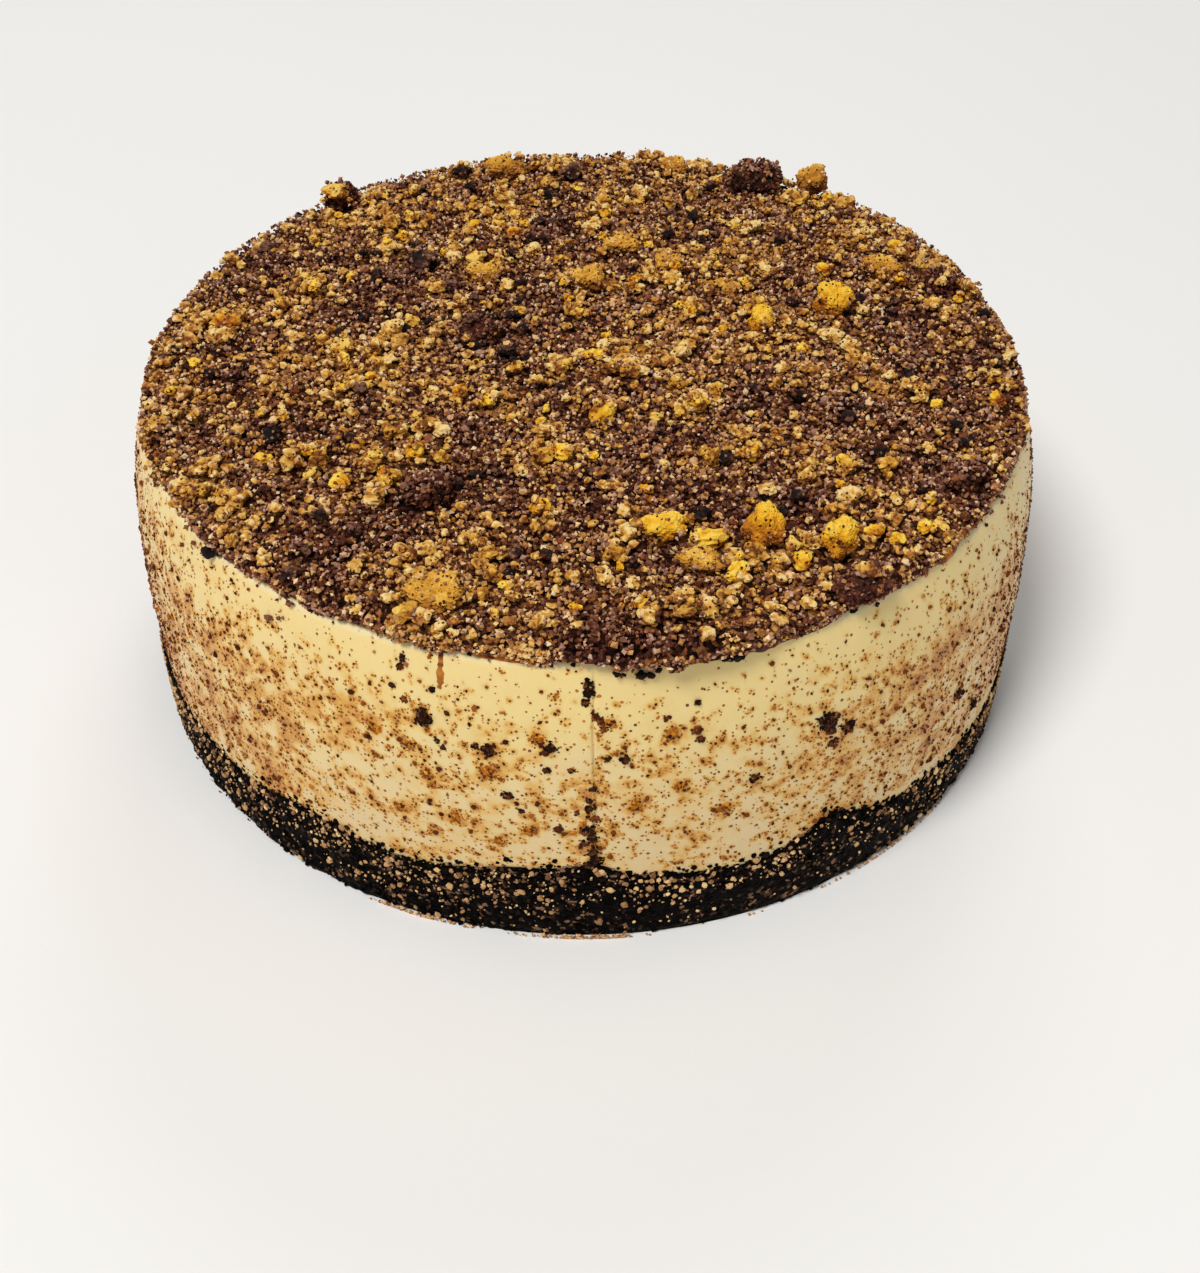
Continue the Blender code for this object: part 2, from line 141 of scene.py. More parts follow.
def putMesh(name, points, faceSets, material, slotName, smooth=True, values=None):
    # Points in mm and arrays of corner numbers go straight into the mesh; values are point attributes.
    mesh = bpy.data.meshes.new(name)
    mesh.vertices.add(len(points))
    mesh.vertices.foreach_set("co", (np.asarray(points) * mm).astype(np.float32).ravel())
    corners = np.concatenate([faces.ravel() for faces in faceSets]).astype(np.int32)
    totals = np.concatenate([np.full(len(faces), faces.shape[1]) for faces in faceSets])
    mesh.loops.add(len(corners))
    mesh.loops.foreach_set("vertex_index", corners)
    mesh.polygons.add(len(totals))
    mesh.polygons.foreach_set("loop_start", (np.cumsum(totals) - totals).astype(np.int32))
    mesh.polygons.foreach_set("use_smooth", np.full(len(totals), smooth))
    for label, amounts in (values or {}).items():
        layer = mesh.attributes.new(label, "FLOAT", "POINT")
        layer.data.foreach_set("value", np.asarray(amounts, np.float32).ravel())
    mesh.update(calc_edges=True)
    mesh.materials.append(material)
    piece = bpy.data.objects.new(name, mesh)
    bpy.context.scene.collection.objects.link(piece)
    if slotName:
        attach(piece, "root")
    print(f"  {name}: {int((totals - 2).sum())} triangles")
    return piece


def putGrains(name, grains, material, slotName="mixed_crumbs"):
    # Crumbs as a set of points, faces and tones, faceted and held within the cake's widest radius
    points, faces, tones = grains
    putMesh(name, heldIn(points), [faces], material, slotName, smooth=False, values={"tone": tones})


def smoothStep(low, high, value):
    # 3t^2 - 2t^3 with t going from 0 at low to 1 at high
    t = np.clip((value - low) / (high - low), 0.0, 1.0)
    return t * t * (3.0 - 2.0 * t)


def scramble(cells, seed):
    # A repeatable number from 0 to 1 for each whole-number cell, mixed by multiplying and folding bits.
    x, y, z = (cells[..., i].astype(np.int64).astype(np.uint64) for i in range(3))
    with np.errstate(over="ignore"):
        mixed = x * np.uint64(73856093) ^ y * np.uint64(19349663) ^ z * np.uint64(83492791)
        mixed ^= np.uint64(seed * 2654435761 % 2 ** 32)
        mixed = (mixed ^ (mixed >> np.uint64(15))) * np.uint64(2246822519)
        mixed = (mixed ^ (mixed >> np.uint64(13))) * np.uint64(3266489917)
        mixed ^= mixed >> np.uint64(16)
    return (mixed & np.uint64(0xFFFFFF)).astype(float) / 0xFFFFFF


def softNoise(points, length, seed):
    # From -1 to 1: random values at the corners of a lattice, blended across each cell by the smooth step.
    place = np.asarray(points) / length + 0.37
    cell = np.floor(place)
    t = place - cell
    t = t * t * (3.0 - 2.0 * t)
    total = 0.0
    for corner in np.ndindex(2, 2, 2):
        corner = np.array(corner)
        weight = np.prod(np.where(corner == 1, t, 1.0 - t), axis=-1)
        total = total + weight * scramble(cell + corner, seed)
    return 2.0 * total - 1.0


def layeredNoise(points, length, seed, layers=3):
    # Soft noise plus finer noise of half the size and 0.55 of the strength, a few times over.
    total, strength, whole = 0.0, 1.0, 0.0
    for layer in range(layers):
        total = total + strength * softNoise(points, length / 2.0 ** layer, seed + 11 * layer)
        whole += strength
        strength *= 0.55
    return total / whole


def packedLumps(points, size, seed):
    # Heaped round lumps: each lattice cell holds a ball at a random spot, and a point takes the height of the
    # highest ball over it, the root of ball radius squared less distance squared. From 0 to about 0.75.
    place = np.asarray(points) / size
    cell = np.floor(place)
    best = np.zeros(place.shape[:-1])
    for step in np.ndindex(3, 3, 3):
        near = cell + np.array(step) - 1
        shift = np.stack([scramble(near, seed + i) for i in range(3)], axis=-1)
        radius = 0.45 + 0.3 * scramble(near, seed + 5)
        best = np.maximum(best, radius ** 2 - ((near + shift - place) ** 2).sum(axis=-1))
    return np.sqrt(best)


def ballTemplate(level):
    # An icosahedron whose triangles are each split in four, level times, with all points pushed out to radius 1.
    g = (1.0 + 5.0 ** 0.5) / 2.0
    points = np.array([(-1, g, 0), (1, g, 0), (-1, -g, 0), (1, -g, 0), (0, -1, g), (0, 1, g),
                       (0, -1, -g), (0, 1, -g), (g, 0, -1), (g, 0, 1), (-g, 0, -1), (-g, 0, 1)])
    faces = np.array([(0, 11, 5), (0, 5, 1), (0, 1, 7), (0, 7, 10), (0, 10, 11), (1, 5, 9), (5, 11, 4),
                      (11, 10, 2), (10, 7, 6), (7, 1, 8), (3, 9, 4), (3, 4, 2), (3, 2, 6), (3, 6, 8),
                      (3, 8, 9), (4, 9, 5), (2, 4, 11), (6, 2, 10), (8, 6, 7), (9, 8, 1)])
    for _ in range(level):
        edges = np.sort(faces[:, [0, 1, 1, 2, 2, 0]].reshape(-1, 2), axis=1)
        single, which = np.unique(edges, axis=0, return_inverse=True)
        ab, bc, ca = (len(points) + which.reshape(-1, 3)).T
        points = np.vstack([points, points[single].mean(axis=1)])
        a, b, c = faces.T
        faces = np.vstack([np.stack(t, 1) for t in ((a, ab, ca), (ab, b, bc), (ca, bc, c), (ab, bc, ca))])
    return points / np.linalg.norm(points, axis=1, keepdims=True), faces


def octahedron():
    points = np.array([(1, 0, 0), (0, 1, 0), (-1, 0, 0), (0, -1, 0), (0, 0, 1), (0, 0, -1)], float)
    faces = [(0, 1, 4), (1, 2, 4), (2, 3, 4), (3, 0, 4), (1, 0, 5), (2, 1, 5), (3, 2, 5), (0, 3, 5)]
    return points, np.array(faces)


def copiedFaces(template, count):
    # The template's faces for each of its copies
    return (template[1][None] + (np.arange(count) * len(template[0]))[:, None, None]).reshape(-1, 3)


def betaWidths(widths, a, b, count, rng):
    # Between the two widths, more of them small, by a beta distribution
    return widths[0] + (widths[1] - widths[0]) * rng.beta(a, b, count)


def randomTurns(count, rng):
    # Turning matrices from random unit quaternions.
    q = rng.normal(size=(count, 4))
    w, x, y, z = (q / np.linalg.norm(q, axis=1, keepdims=True)).T
    rows = [[1 - 2 * (y * y + z * z), 2 * (x * y - z * w), 2 * (x * z + y * w)],
            [2 * (x * y + z * w), 1 - 2 * (x * x + z * z), 2 * (y * z - x * w)],
            [2 * (x * z - y * w), 2 * (y * z + x * w), 1 - 2 * (x * x + y * y)]]
    return np.moveaxis(np.array(rows), 2, 0)


def grainCloud(template, centres, widths, flatness, uneven, rng, axes=None):
    # Each grain is the template with every point pushed in or out at random, turned at random, stretched a little,
    # then flattened along its last axis. Axes are each grain's own three directions where it lies on a slope.
    points = template[0]
    count = len(centres)
    form = points[None] * (1.0 + uneven * rng.uniform(-1, 1, (count, len(points), 1)))
    form = form * (1.0 + 0.25 * rng.uniform(-1, 1, (count, 1, 3)))
    form = np.einsum("nij,nkj->nki", randomTurns(count, rng), form)
    form[..., 2] *= flatness
    form *= 0.5 * np.asarray(widths)[:, None, None]
    if axes is not None:
        form = np.einsum("nki,nij->nkj", form, axes)
    return (form + centres[:, None, :]).reshape(-1, 3), copiedFaces(template, count)


def grainsBySize(centres, widths, limit, flatness, rng, tones, axes=None):
    # Grains wider than the limit have twenty faces and the rest eight, all in one set of points, faces and tones.
    parts = []
    for template, chosen in ((octahedron(), widths < limit), (ballTemplate(0), widths >= limit)):
        some = None if axes is None else axes[chosen]
        cloud = grainCloud(template, centres[chosen], widths[chosen], flatness, 0.26, rng, some)
        parts.append((*cloud, np.repeat(tones[chosen], len(template[0]))))
    return merged(parts)


def lobedForms(template, count, rng, lobes=9, spread=0.55, sizes=(0.28, 0.5), core=0.55):
    # How far each form reaches in each direction: the farthest that any of its balls reaches there,
    # d.c + root((d.c)^2 - |c|^2 + r^2), and never less than the core.
    middles = rng.normal(size=(count, lobes, 3))
    middles *= spread * rng.uniform(0.75, 1.0, (count, lobes, 1)) / np.linalg.norm(middles, axis=2, keepdims=True)
    radii = rng.uniform(*sizes, (count, lobes))
    along = np.einsum("di,nli->nld", template[0], middles)
    under = along ** 2 - (middles ** 2).sum(axis=2)[..., None] + radii[..., None] ** 2
    reach = np.where(under > 0.0, along + np.sqrt(np.maximum(under, 0.0)), 0.0).max(axis=1)
    return np.maximum(reach, core)


def merged(parts):
    # Several (points, faces, tones) sets joined into one.
    starts = np.cumsum([0] + [len(points) for points, _, _ in parts])
    faces = np.vstack([part[1] + start for part, start in zip(parts, starts)])
    return np.vstack([part[0] for part in parts]), faces, np.concatenate([part[2] for part in parts])


def gridFaces(rows, columns, closed=False):
    # Quads between the points of a grid, which may close round its columns.
    i, j = np.meshgrid(np.arange(rows - 1), np.arange(columns - 1 + closed), indexing="ij")
    k = (j + 1) % columns
    quads = [i * columns + j, (i + 1) * columns + j, (i + 1) * columns + k, i * columns + k]
    return np.stack(quads, -1).reshape(-1, 4)


def turnedFaces(rows, columns):
    # A closed grid with a pole point before its first row and after its last.
    around, last = np.arange(columns), (rows - 1) * columns
    after = (around + 1) % columns
    top = np.stack([np.full(columns, rows * columns), around, after], -1)
    low = np.stack([last + around, np.full(columns, rows * columns + 1), last + after], -1)
    return [gridFaces(rows, columns, True), top, low]


def tubeFaces(rows, turns):
    # A closed grid with a flat cap at each end.
    first = np.arange(turns)[None]
    return [gridFaces(rows, turns, True), first, ((rows - 1) * turns + first)[:, ::-1]]


# Shared forms of the cake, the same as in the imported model

cakeForm = {
    "baseRadius": 102.8,
    "footRadius": 102.6,
    "baseHeight": 17.0,
    "baseMiddle": 14.0,
    "baseWaves": ((32, 15, -2.2), (76, 9, 2.6), (121, 13, -2.4), (163, 9, 2.8), (196, 8, -1.6),
                  (236, 8, 2.6), (266, 9, 4.4), (300, 5, 5.0), (327, 13, -4.2)),  # degrees, degrees, mm
    "seamAngle": -88.4,
    "side": ((102.5, 17.0), (102.7, 34.0), (102.3, 46.0), (101.6, 54.0), (100.5, 61.0), (98.8, 68.0),
             (97.8, 71.5), (97.2, 72.8), (96.2, 73.7), (95.2, 74.0)),  # radius and height of the filling
    "fillingTop": 74.0,
    "edgeRadius": 95.8,
    "edgeShift": 2.0,
    "edgeLobes": ((-78, 10, 3.0), (42, 20, 2.6)),
    "gap": 0.35,
    "widest": 103.4,  # nothing on the side reaches further out than this
}
seam = np.radians(cakeForm["seamAngle"])
bedFoot = cakeForm["fillingTop"] + cakeForm["gap"]
sideTurn = 101.0  # mm along the side for one radian


def heldIn(points):
    # Points further out than the widest radius are drawn in to it, and none lies under the floor.
    radius = np.maximum(np.hypot(points[:, 0], points[:, 1]), 1.0)
    points[:, :2] *= np.minimum(1.0, cakeForm["widest"] / radius)[:, None]
    points[:, 2] = np.maximum(points[:, 2], 0.02)
    return points


def shortTurn(turn):
    return np.mod(turn + np.pi, 2.0 * np.pi) - np.pi


def bell(turn, width):
    # e to the power of minus (turn / width) squared, with the turn taken the short way round
    return np.exp(-(shortTurn(turn) / width) ** 2)


def baseLine(angle):
    # Height of the line between base and filling: 17 mm, a small ripple, and the waves pressed in by hand.
    height = cakeForm["baseHeight"] + 0.5 * np.sin(17.0 * angle)
    for waveAngle, width, rise in cakeForm["baseWaves"]:
        height = height + rise * bell(angle - np.radians(waveAngle), np.radians(width))
    return height + 3.5 * bell(angle - seam, np.radians(3.4))


def baseTop(radius, line):
    # The base's top rises from its flat middle to that line.
    middle = cakeForm["baseMiddle"]
    return middle + smoothStep(88.0, 102.4, np.float64(radius)) * (line - middle)


def sideRadius(height):
    radii, heights = np.array(cakeForm["side"]).T
    return np.interp(height, heights, radii)


def layerEdge(angle):
    # Radius of the crumb layer's edge: nearer the front than the back, with two lobes and a ripple.
    radius = cakeForm["edgeRadius"] - cakeForm["edgeShift"] * np.sin(angle)
    for lobeAngle, width, reach in cakeForm["edgeLobes"]:
        radius = radius + reach * bell(angle - np.radians(lobeAngle), np.radians(width))
    ring = np.stack([np.cos(angle), np.sin(angle), 0.0 * angle], -1) * 96.0
    return radius + 0.8 * layeredNoise(ring, 12.0, 61, 3)


def onSide(angle, radius, height):
    return np.stack([radius * np.cos(angle), radius * np.sin(angle), height], -1)


def ringNoise(angle, length, seed, layers, radius=97.0):
    return layeredNoise(onSide(angle, radius, 0.0 * angle), length, seed, layers)


def sideAxes(angle):
    # Round the cake, up, and outwards, for grains that lie on the side.
    around = np.stack([-np.sin(angle), np.cos(angle), 0.0 * angle], -1)
    up = np.broadcast_to(np.array([0.0, 0.0, 1.0]), around.shape)
    out = np.stack([np.cos(angle), np.sin(angle), 0.0 * angle], -1)
    return np.stack([around, up, out], axis=1)


def turnedPoints(angle, rows, top, low):
    # Rows of (radius, height) round the cake and two pole points, with the angle and height of each row's points.
    radii, heights = (np.stack(part) for part in zip(*rows))
    angles = np.broadcast_to(angle, radii.shape)
    points = np.vstack([onSide(angles, radii, heights).reshape(-1, 3), [(0.0, 0.0, top), (0.0, 0.0, low)]])
    return points, angles, heights


# Camera, light and floor

studio = {
    "place": (0.0038, -0.3149, 0.2794),
    "downTilt": 42.52,
    "roll": 0.354,
    "lens": 46.97,
    "world": 0.28,
    "key": ((-0.70, -0.85, 2.0), 0.75, 37.0),  # place, size in metres, watts
    "fill": ((1.50, -1.40, 1.1), 1.60, 4.0),
    "back": ((0.30, 1.80, 1.4), 1.20, 11.0),
}

camera = bpy.data.objects.new("camera", bpy.data.cameras.new("camera"))
bpy.context.scene.collection.objects.link(camera)
camera.data.sensor_fit = "VERTICAL"
camera.data.sensor_height = 36.0
camera.data.lens = studio["lens"]
camera.data.clip_start = 0.02
lean = Matrix.Rotation(math.radians(90.0 - studio["downTilt"]), 4, "X")
roll = Matrix.Rotation(math.radians(studio["roll"]), 4, "Z")
camera.matrix_world = Matrix.Translation(studio["place"]) @ lean @ roll
bpy.context.scene.camera = camera
bpy.context.scene.view_settings.view_transform = "Standard"

world = bpy.data.worlds.new("studio")
bpy.context.scene.world = world
world.use_nodes = True
world.node_tree.nodes["Background"].inputs["Color"].default_value = linearColour("#f4f3f0")
world.node_tree.nodes["Background"].inputs["Strength"].default_value = studio["world"]

for lampName in ("key", "fill", "back"):
    place, size, watts = studio[lampName]
    lamp = bpy.data.lights.new(lampName, "AREA")
    lamp.shape = "DISK"
    lamp.size = size
    lamp.energy = watts
    holder = bpy.data.objects.new(lampName, lamp)
    bpy.context.scene.collection.objects.link(holder)
    toCake = Vector((0.0, 0.0, 0.05)) - Vector(place)
    holder.matrix_world = Matrix.Translation(place) @ toCake.to_track_quat("-Z", "Y").to_matrix().to_4x4()

# Matt white studio card: smooth, with the faintest unevenness
floorMaterial, tree, where = newMaterial("studioCard", {"Roughness": 0.9})
cloud = addNode(tree, "TexNoise", {"Scale": 3.0, "Vector": where})["Fac"]
finishMaterial(tree, rampNode(tree, "0 #efeeeb, 1 #f4f3f1", cloud))
floorX, floorY = np.meshgrid(*[np.linspace(-3000.0, 3000.0, 13)] * 2, indexing="ij")
floorPoints = np.stack([floorX, floorY, 0.0 * floorX - 0.02], -1).reshape(-1, 3)
putMesh("studioFloor", floorPoints, [gridFaces(13, 13)], floorMaterial, None)
print("camera, light and floor placed")


# Materials

def crumbMaterial(name, stops, roughness, fleck, shine=0.12):
    # Baked biscuit crumb, dry and open-pored: matt, each crumb a little lighter or darker, with grain of 0.3 mm.
    # Its pores swallow most of the surface reflection, so the specular level is low.
    settings = {"Roughness": roughness, "IOR": 1.45, "Specular IOR Level": shine}
    material, tree, where = newMaterial(name, settings)
    grain = noiseNode(tree, where, 0.6, 3.0)["Fac"]
    shift = mathNode(tree, "MULTIPLY_ADD", grain, fleck, -0.5 * fleck)
    total = mathNode(tree, "ADD", valueNode(tree, "tone"), shift)
    finishMaterial(tree, rampNode(tree, stops, total), (grain, 0.5, 0.15, False))
    return material


# Each from its darkest crumbs to its lightest
# The cocoa crumbs' pale pink lightest end is partly painted glints on the dark crumbs
cocoaMaterial = crumbMaterial("cocoaBiscuitCrumb", "0 #1c0502, 0.35 #5e3125, 0.7 #96664e, 1 #d2ac94", 0.7, 0.5)
russetMaterial = crumbMaterial("russetBiscuitCrumb", "0 #441606, 0.35 #8c4e2d, 0.7 #bc8050, 1 #e6b98a", 0.75, 0.45)
tanMaterial = crumbMaterial("tanBiscuitCrumb", "0 #7c4620, 0.35 #ca9254, 0.7 #e8ba7e, 1 #f8deb2", 0.8, 0.45)
pinkTanMaterial = crumbMaterial("pinkTanCrumb", "0 #6e482e, 0.4 #b88a5c, 0.75 #e2b880, 1 #f8dca8", 0.75, 0.4)
goldenMaterial = crumbMaterial("goldenBiscuitCrumb", "0 #8e4c14, 0.35 #d0902e, 0.7 #ecb84c, 1 #f8da84", 0.8, 0.45)
# Pale crumbs: partly real light crumbs, partly painted glints on the topping
paleCrumbGlintMaterial = crumbMaterial("paleBiscuitCrumbAndGlint", "0 #8c6450, 0.5 #cca282, 1 #f0d0b0", 0.8, 0.4)
blackMaterial = crumbMaterial("blackCookieCrumb", "0 #030202, 0.5 #0a0706, 1 #2a1e18", 0.6, 0.5, 0.03)
speckMaterial = crumbMaterial("brownSpeck", "0 #2a0f04, 0.35 #56260b, 0.7 #904a16, 1 #be7a32", 0.55, 0.4)
burntMaterial = crumbMaterial("burntCrumb", "0 #0e0502, 0.4 #26130a, 0.75 #56341e, 1 #a87c50", 0.6, 0.5, 0.06)
amberMaterial = crumbMaterial("amberSpeck", "0 #80400a, 0.4 #bc7018, 0.75 #da9630, 1 #eaba5c", 0.55, 0.4)
dripMaterial = crumbMaterial("driedSyrup", "0 #3c1604, 0.4 #8c480c, 0.7 #b46c18, 1 #d6963c", 0.4, 0.5, 0.3)


def biscuitMaterial(name, stops, speck, speckShare):
    # Broken baked biscuit: dry and porous, browner low down and in its creases as painted shade carried in its tone,
    # with burnt specks of 0.3 to 0.8 mm.
    material, tree, where = newMaterial(name, {"Roughness": 0.75, "IOR": 1.45, "Specular IOR Level": 0.25})
    fine = noiseNode(tree, where, 0.8, 4.0, 0.7)["Fac"]
    shift = mathNode(tree, "MULTIPLY_ADD", noiseNode(tree, where, 3.5, 4.0, 0.6)["Fac"], 0.9, -0.45)
    flaky = mathNode(tree, "MULTIPLY_ADD", fine, 0.8, -0.4)
    total = mathNode(tree, "ADD", mathNode(tree, "ADD", valueNode(tree, "tone"), shift), flaky)
    crust = rampNode(tree, stops, total)
    crust = dotted(tree, crust, where, 0.85, speckShare, 0.36, 0.0, f"0 {speck}, 1 {speck}")
    finishMaterial(tree, crust, (fine, 1.0, 0.4, False))
    return material


goldenBiscuitMaterial = biscuitMaterial(
    "goldenBiscuit", "0 #7e3c0e, 0.25 #c4741a, 0.5 #e8a41e, 0.75 #f5be2c, 1 #fcd658", "#5a2a0c", 0.26)
honeyBiscuitMaterial = biscuitMaterial(
    "honeyBiscuit", "0 #5a2a0c, 0.25 #985c20, 0.5 #c4862c, 0.75 #e0a63a, 1 #f4ca60", "#4a220e", 0.34)
tanBiscuitMaterial = biscuitMaterial(
    "tanBiscuit", "0 #663414, 0.25 #a4642a, 0.5 #d0963e, 0.75 #e6b256, 1 #f6d690", "#5a301a", 0.26)
darkBiscuitMaterial = biscuitMaterial(
    "darkBiscuit", "0 #080201, 0.28 #160804, 0.55 #28120a, 0.8 #46261a, 1 #78503a", "#946a4c", 0.16)


# The crumb base

baseCrumb = {
    "columns": 1080,
    "sideStep": 0.6,
    "lumps": ((2.6, 0.75, 70), (1.4, 0.45, 76)),  # size, height in mm, seed
    "crag": (5.0, 0.45),
}

# Crushed black cookie pressed in a tin: matt, near black, with lighter crumb faces of 0.5 to 2 mm showing.
baseMaterial, tree, where = newMaterial("pressedCookieBase", {
    "Roughness": 0.6, "IOR": 1.45, "Specular IOR Level": 0.03})
away, luck = cellsNode(tree, where, 0.85)
shift = mathNode(tree, "MULTIPLY_ADD", noiseNode(tree, where, 7.0, 4.0)["Fac"], 0.8, -0.4)
colour = rampNode(tree, "0 #030202, 0.55 #080605, 0.82 #150e0c, 0.94 #443024, 1 #86644a",
                  mathNode(tree, "ADD", luck[0], shift))
finishMaterial(tree, colour, (away, 0.8, 0.35, True))


def smoothPatch(angle, height):
    # 1 where the base is pressed smooth, low down and right of the seam
    return bell(angle - np.radians(-72.0), np.radians(20.0)) * (1.0 - smoothStep(8.0, 13.0, height))


def makeBase():
    # A profile turned about the middle: rising top, craggy side pushed out by packed lumps, flat foot.
    columns = baseCrumb["columns"]
    angle = 2.0 * np.pi * np.arange(columns) / columns
    line = baseLine(angle)
    rows = [(np.full(columns, radius), baseTop(radius, line)) for radius in (20.0, 60.0, 88.0, 94.0, 99.0, 102.0)]
    steps = int(cakeForm["baseHeight"] / baseCrumb["sideStep"])
    for share in 1.0 - np.arange(steps + 1) / steps:
        height = line * share + 0.15 * (1.0 - share)
        radius = np.full(columns, cakeForm["baseRadius"] - 0.5 * (1.0 - smoothStep(0.0, 0.09, share)))
        place = onSide(angle, radius, height)
        push = baseCrumb["crag"][1] * layeredNoise(place, baseCrumb["crag"][0], 65) - 0.35
        calm = 1.0 - 0.75 * smoothPatch(angle, height)
        for size, depth, seed in baseCrumb["lumps"]:
            push = push + calm * depth * packedLumps(place, size, seed)
        rows.append((np.minimum(radius + push, cakeForm["widest"] - 0.05), height))
    for radius in (cakeForm["footRadius"] - 0.5, 80.0, 40.0):
        rows.append((np.full(columns, radius), np.zeros(columns)))
    points, _, _ = turnedPoints(angle, rows, cakeForm["baseMiddle"], 0.0)
    piece = putMesh("crumbBaseBody", points, turnedFaces(len(rows), columns), baseMaterial, "dark_crumb_base")
    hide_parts("crumb_base")


print("crumb base")
makeBase()


# The cream filling and its specks

creamFilling = {
    "columns": 960,
    "sideStep": 0.66,
    "waves": ((26.0, 0.35, 81), (1.6, 0.05, 85)),  # length, depth in mm, seed
    "seamDepth": 0.38,
    "seamWidth": 0.30,  # half width in mm
}
sideSpecks = {
    "places": 14400,  # tried; those that the density leaves are kept
    "seed": 301,
    "low": 19.0,
    "high": 73.0,
    "brown": (0.42, 1.8),  # widths
    "amber": (0.34, 0.9),
    "amberEach": 1.1,  # amber specks for each brown one
    "beside": 1.1,  # mm between an amber speck and its brown one
    "seam": (75, 2.3, 24.0, 47.0),  # count, spread, lower and upper height
}
# Larger clumps and stains seen at the front: angle, height, width, kind
sideClumps = (
    (-106.7, 58.4, 4.2, "dark"), (-106.9, 60.0, 2.8, "dark"), (-99.5, 53.6, 3.2, "dark"),
    (-101.0, 54.2, 1.8, "dark"), (-99.8, 48.0, 5.2, "amber"), (-98.4, 46.6, 2.4, "amber"),
    (-106.6, 45.0, 4.0, "amber"), (-97.6, 42.3, 2.4, "dark"), (-96.2, 38.6, 1.3, "dark"),
    (-62.1, 51.5, 5.0, "dark"), (-61.6, 49.0, 3.4, "brown"), (-61.2, 45.4, 3.0, "brown"),
    (-59.2, 47.8, 3.2, "dark"), (-40.0, 35.4, 3.0, "dark"), (-33.8, 24.0, 3.0, "dark"),
    (-94.1, 56.8, 2.4, "brown"), (-93.0, 55.4, 2.8, "dark"), (-93.6, 54.0, 2.2, "brown"),
    (-93.3, 50.0, 1.9, "dark"), (-90.8, 50.1, 1.7, "dark"), (-85.1, 52.5, 2.3, "dark"),
    (-86.9, 53.0, 1.2, "dark"), (-80.7, 61.2, 1.5, "brown"), (-80.2, 57.1, 1.6, "dark"),
    (-77.4, 57.4, 2.4, "brown"), (-77.0, 55.6, 1.8, "brown"), (-70.7, 42.6, 2.6, "dark"),
    (-77.3, 63.7, 1.4, "dark"), (-89.1, 69.4, 2.3, "dark"), (-89.0, 67.6, 2.6, "dark"),
    (-89.2, 65.6, 2.2, "dark"), (-88.2, 62.6, 2.2, "brown"), (-87.6, 61.4, 2.4, "brown"),
    (-87.3, 59.8, 2.2, "brown"), (-86.6, 61.0, 4.2, "amber"), (-88.6, 45.4, 1.9, "dark"),
    (-88.9, 42.2, 1.8, "dark"), (-88.9, 40.0, 2.4, "dark"), (-90.2, 38.8, 2.0, "brown"),
    (-88.4, 37.1, 2.6, "brown"), (-89.1, 33.8, 3.2, "dark"), (-88.6, 31.6, 2.8, "dark"),
    (-92.2, 34.0, 2.8, "brown"), (-89.4, 30.0, 2.4, "dark"), (-88.5, 27.3, 2.8, "dark"),
    (-88.3, 25.0, 2.6, "dark"), (-88.9, 23.6, 3.0, "dark"), (-89.6, 35.8, 1.8, "pale"),
    (-90.6, 33.2, 1.5, "pale"), (-109.3, 70.2, 1.7, "dark"), (-109.5, 68.6, 2.0, "dark"),
    (-105.8, 65.1, 1.6, "dark"), (-110.4, 64.0, 1.4, "dark"), (-109.0, 61.5, 1.4, "brown"),
    (-105.2, 53.8, 1.5, "dark"), (-104.6, 52.4, 1.3, "brown"), (-101.6, 59.0, 1.2, "brown"),
    (-108.4, 51.0, 3.6, "amber"), (-112.6, 53.0, 4.6, "amber"), (-113.4, 50.2, 2.0, "brown"),
    (-106.0, 42.0, 3.4, "amber"), (-94.4, 57.6, 4.8, "amber"), (-80.0, 57.6, 4.6, "amber"),
    (-84.0, 40.0, 4.4, "amber"), (-106.2, 71.6, 1.8, "amber"), (-95.5, 33.0, 4.6, "amber"),
    (-103.6, 34.0, 5.0, "amber"), (-110.0, 33.5, 4.0, "amber"), (-92.4, 66.6, 2.6, "amber"),
    (-79.0, 44.0, 4.2, "amber"), (-74.0, 36.0, 4.0, "amber"), (-98.6, 29.0, 4.2, "amber"))
# Grains for each square mm, their widths, how far the heap stands out, its other grains' kind and their share
clumpKinds = {
    "dark": (5.0, (0.5, 1.15), 0.14, "brown", 0.2),
    "brown": (4.0, (0.5, 1.15), 0.04, "brown", 0.3),
    "amber": (2.6, (0.3, 0.75), 0.04, "brown", 0.3),
    "pale": (6.0, (0.5, 1.15), 0.14, "pale", 0.3),
}

# Baked cheesecake side: moist set cream, slightly translucent, satin where it pulled off the tin.
# Yellower near the rim and paler lower down, tanned in patches where crumbs baked against it.
creamMaterial, tree, where = newMaterial("bakedCream", {
    "Roughness": 0.42, "IOR": 1.42, "Subsurface Weight": 0.2, "Subsurface Radius": (1.0, 0.6, 0.3),
    "Subsurface Scale": 0.7 * mm})
stain = valueNode(tree, "stain")
upright = addNode(tree, "SeparateXYZ", {"Vector": where})["Z"]
fine = noiseNode(tree, where, 1.3, 4.0, 0.65)
shift = mathNode(tree, "MULTIPLY_ADD", noiseNode(tree, where, 16.0, 3.0)["Fac"], 0.7, -0.35)
cream = rampNode(tree, "0 #e6cb98, 0.45 #ebd29a, 0.8 #efd590, 1 #f1d690",
                 mathNode(tree, "ADD", rangeNode(tree, upright, 20.0 * mm, 72.0 * mm), shift))
amount = mathNode(tree, "MULTIPLY_ADD", mathNode(tree, "MULTIPLY_ADD", fine["Fac"], 1.6, -0.8), stain, stain)
tan = rampNode(tree, "0 #ecd08a, 0.25 #e4b04e, 0.55 #cf8a2a, 1 #9c5612", amount)
skin = mixNode(tree, rangeNode(tree, amount, 0.04, 0.34, 0.92), cream, tan)
limit = mathNode(tree, "MULTIPLY_ADD", stain, 1.7, 0.01)
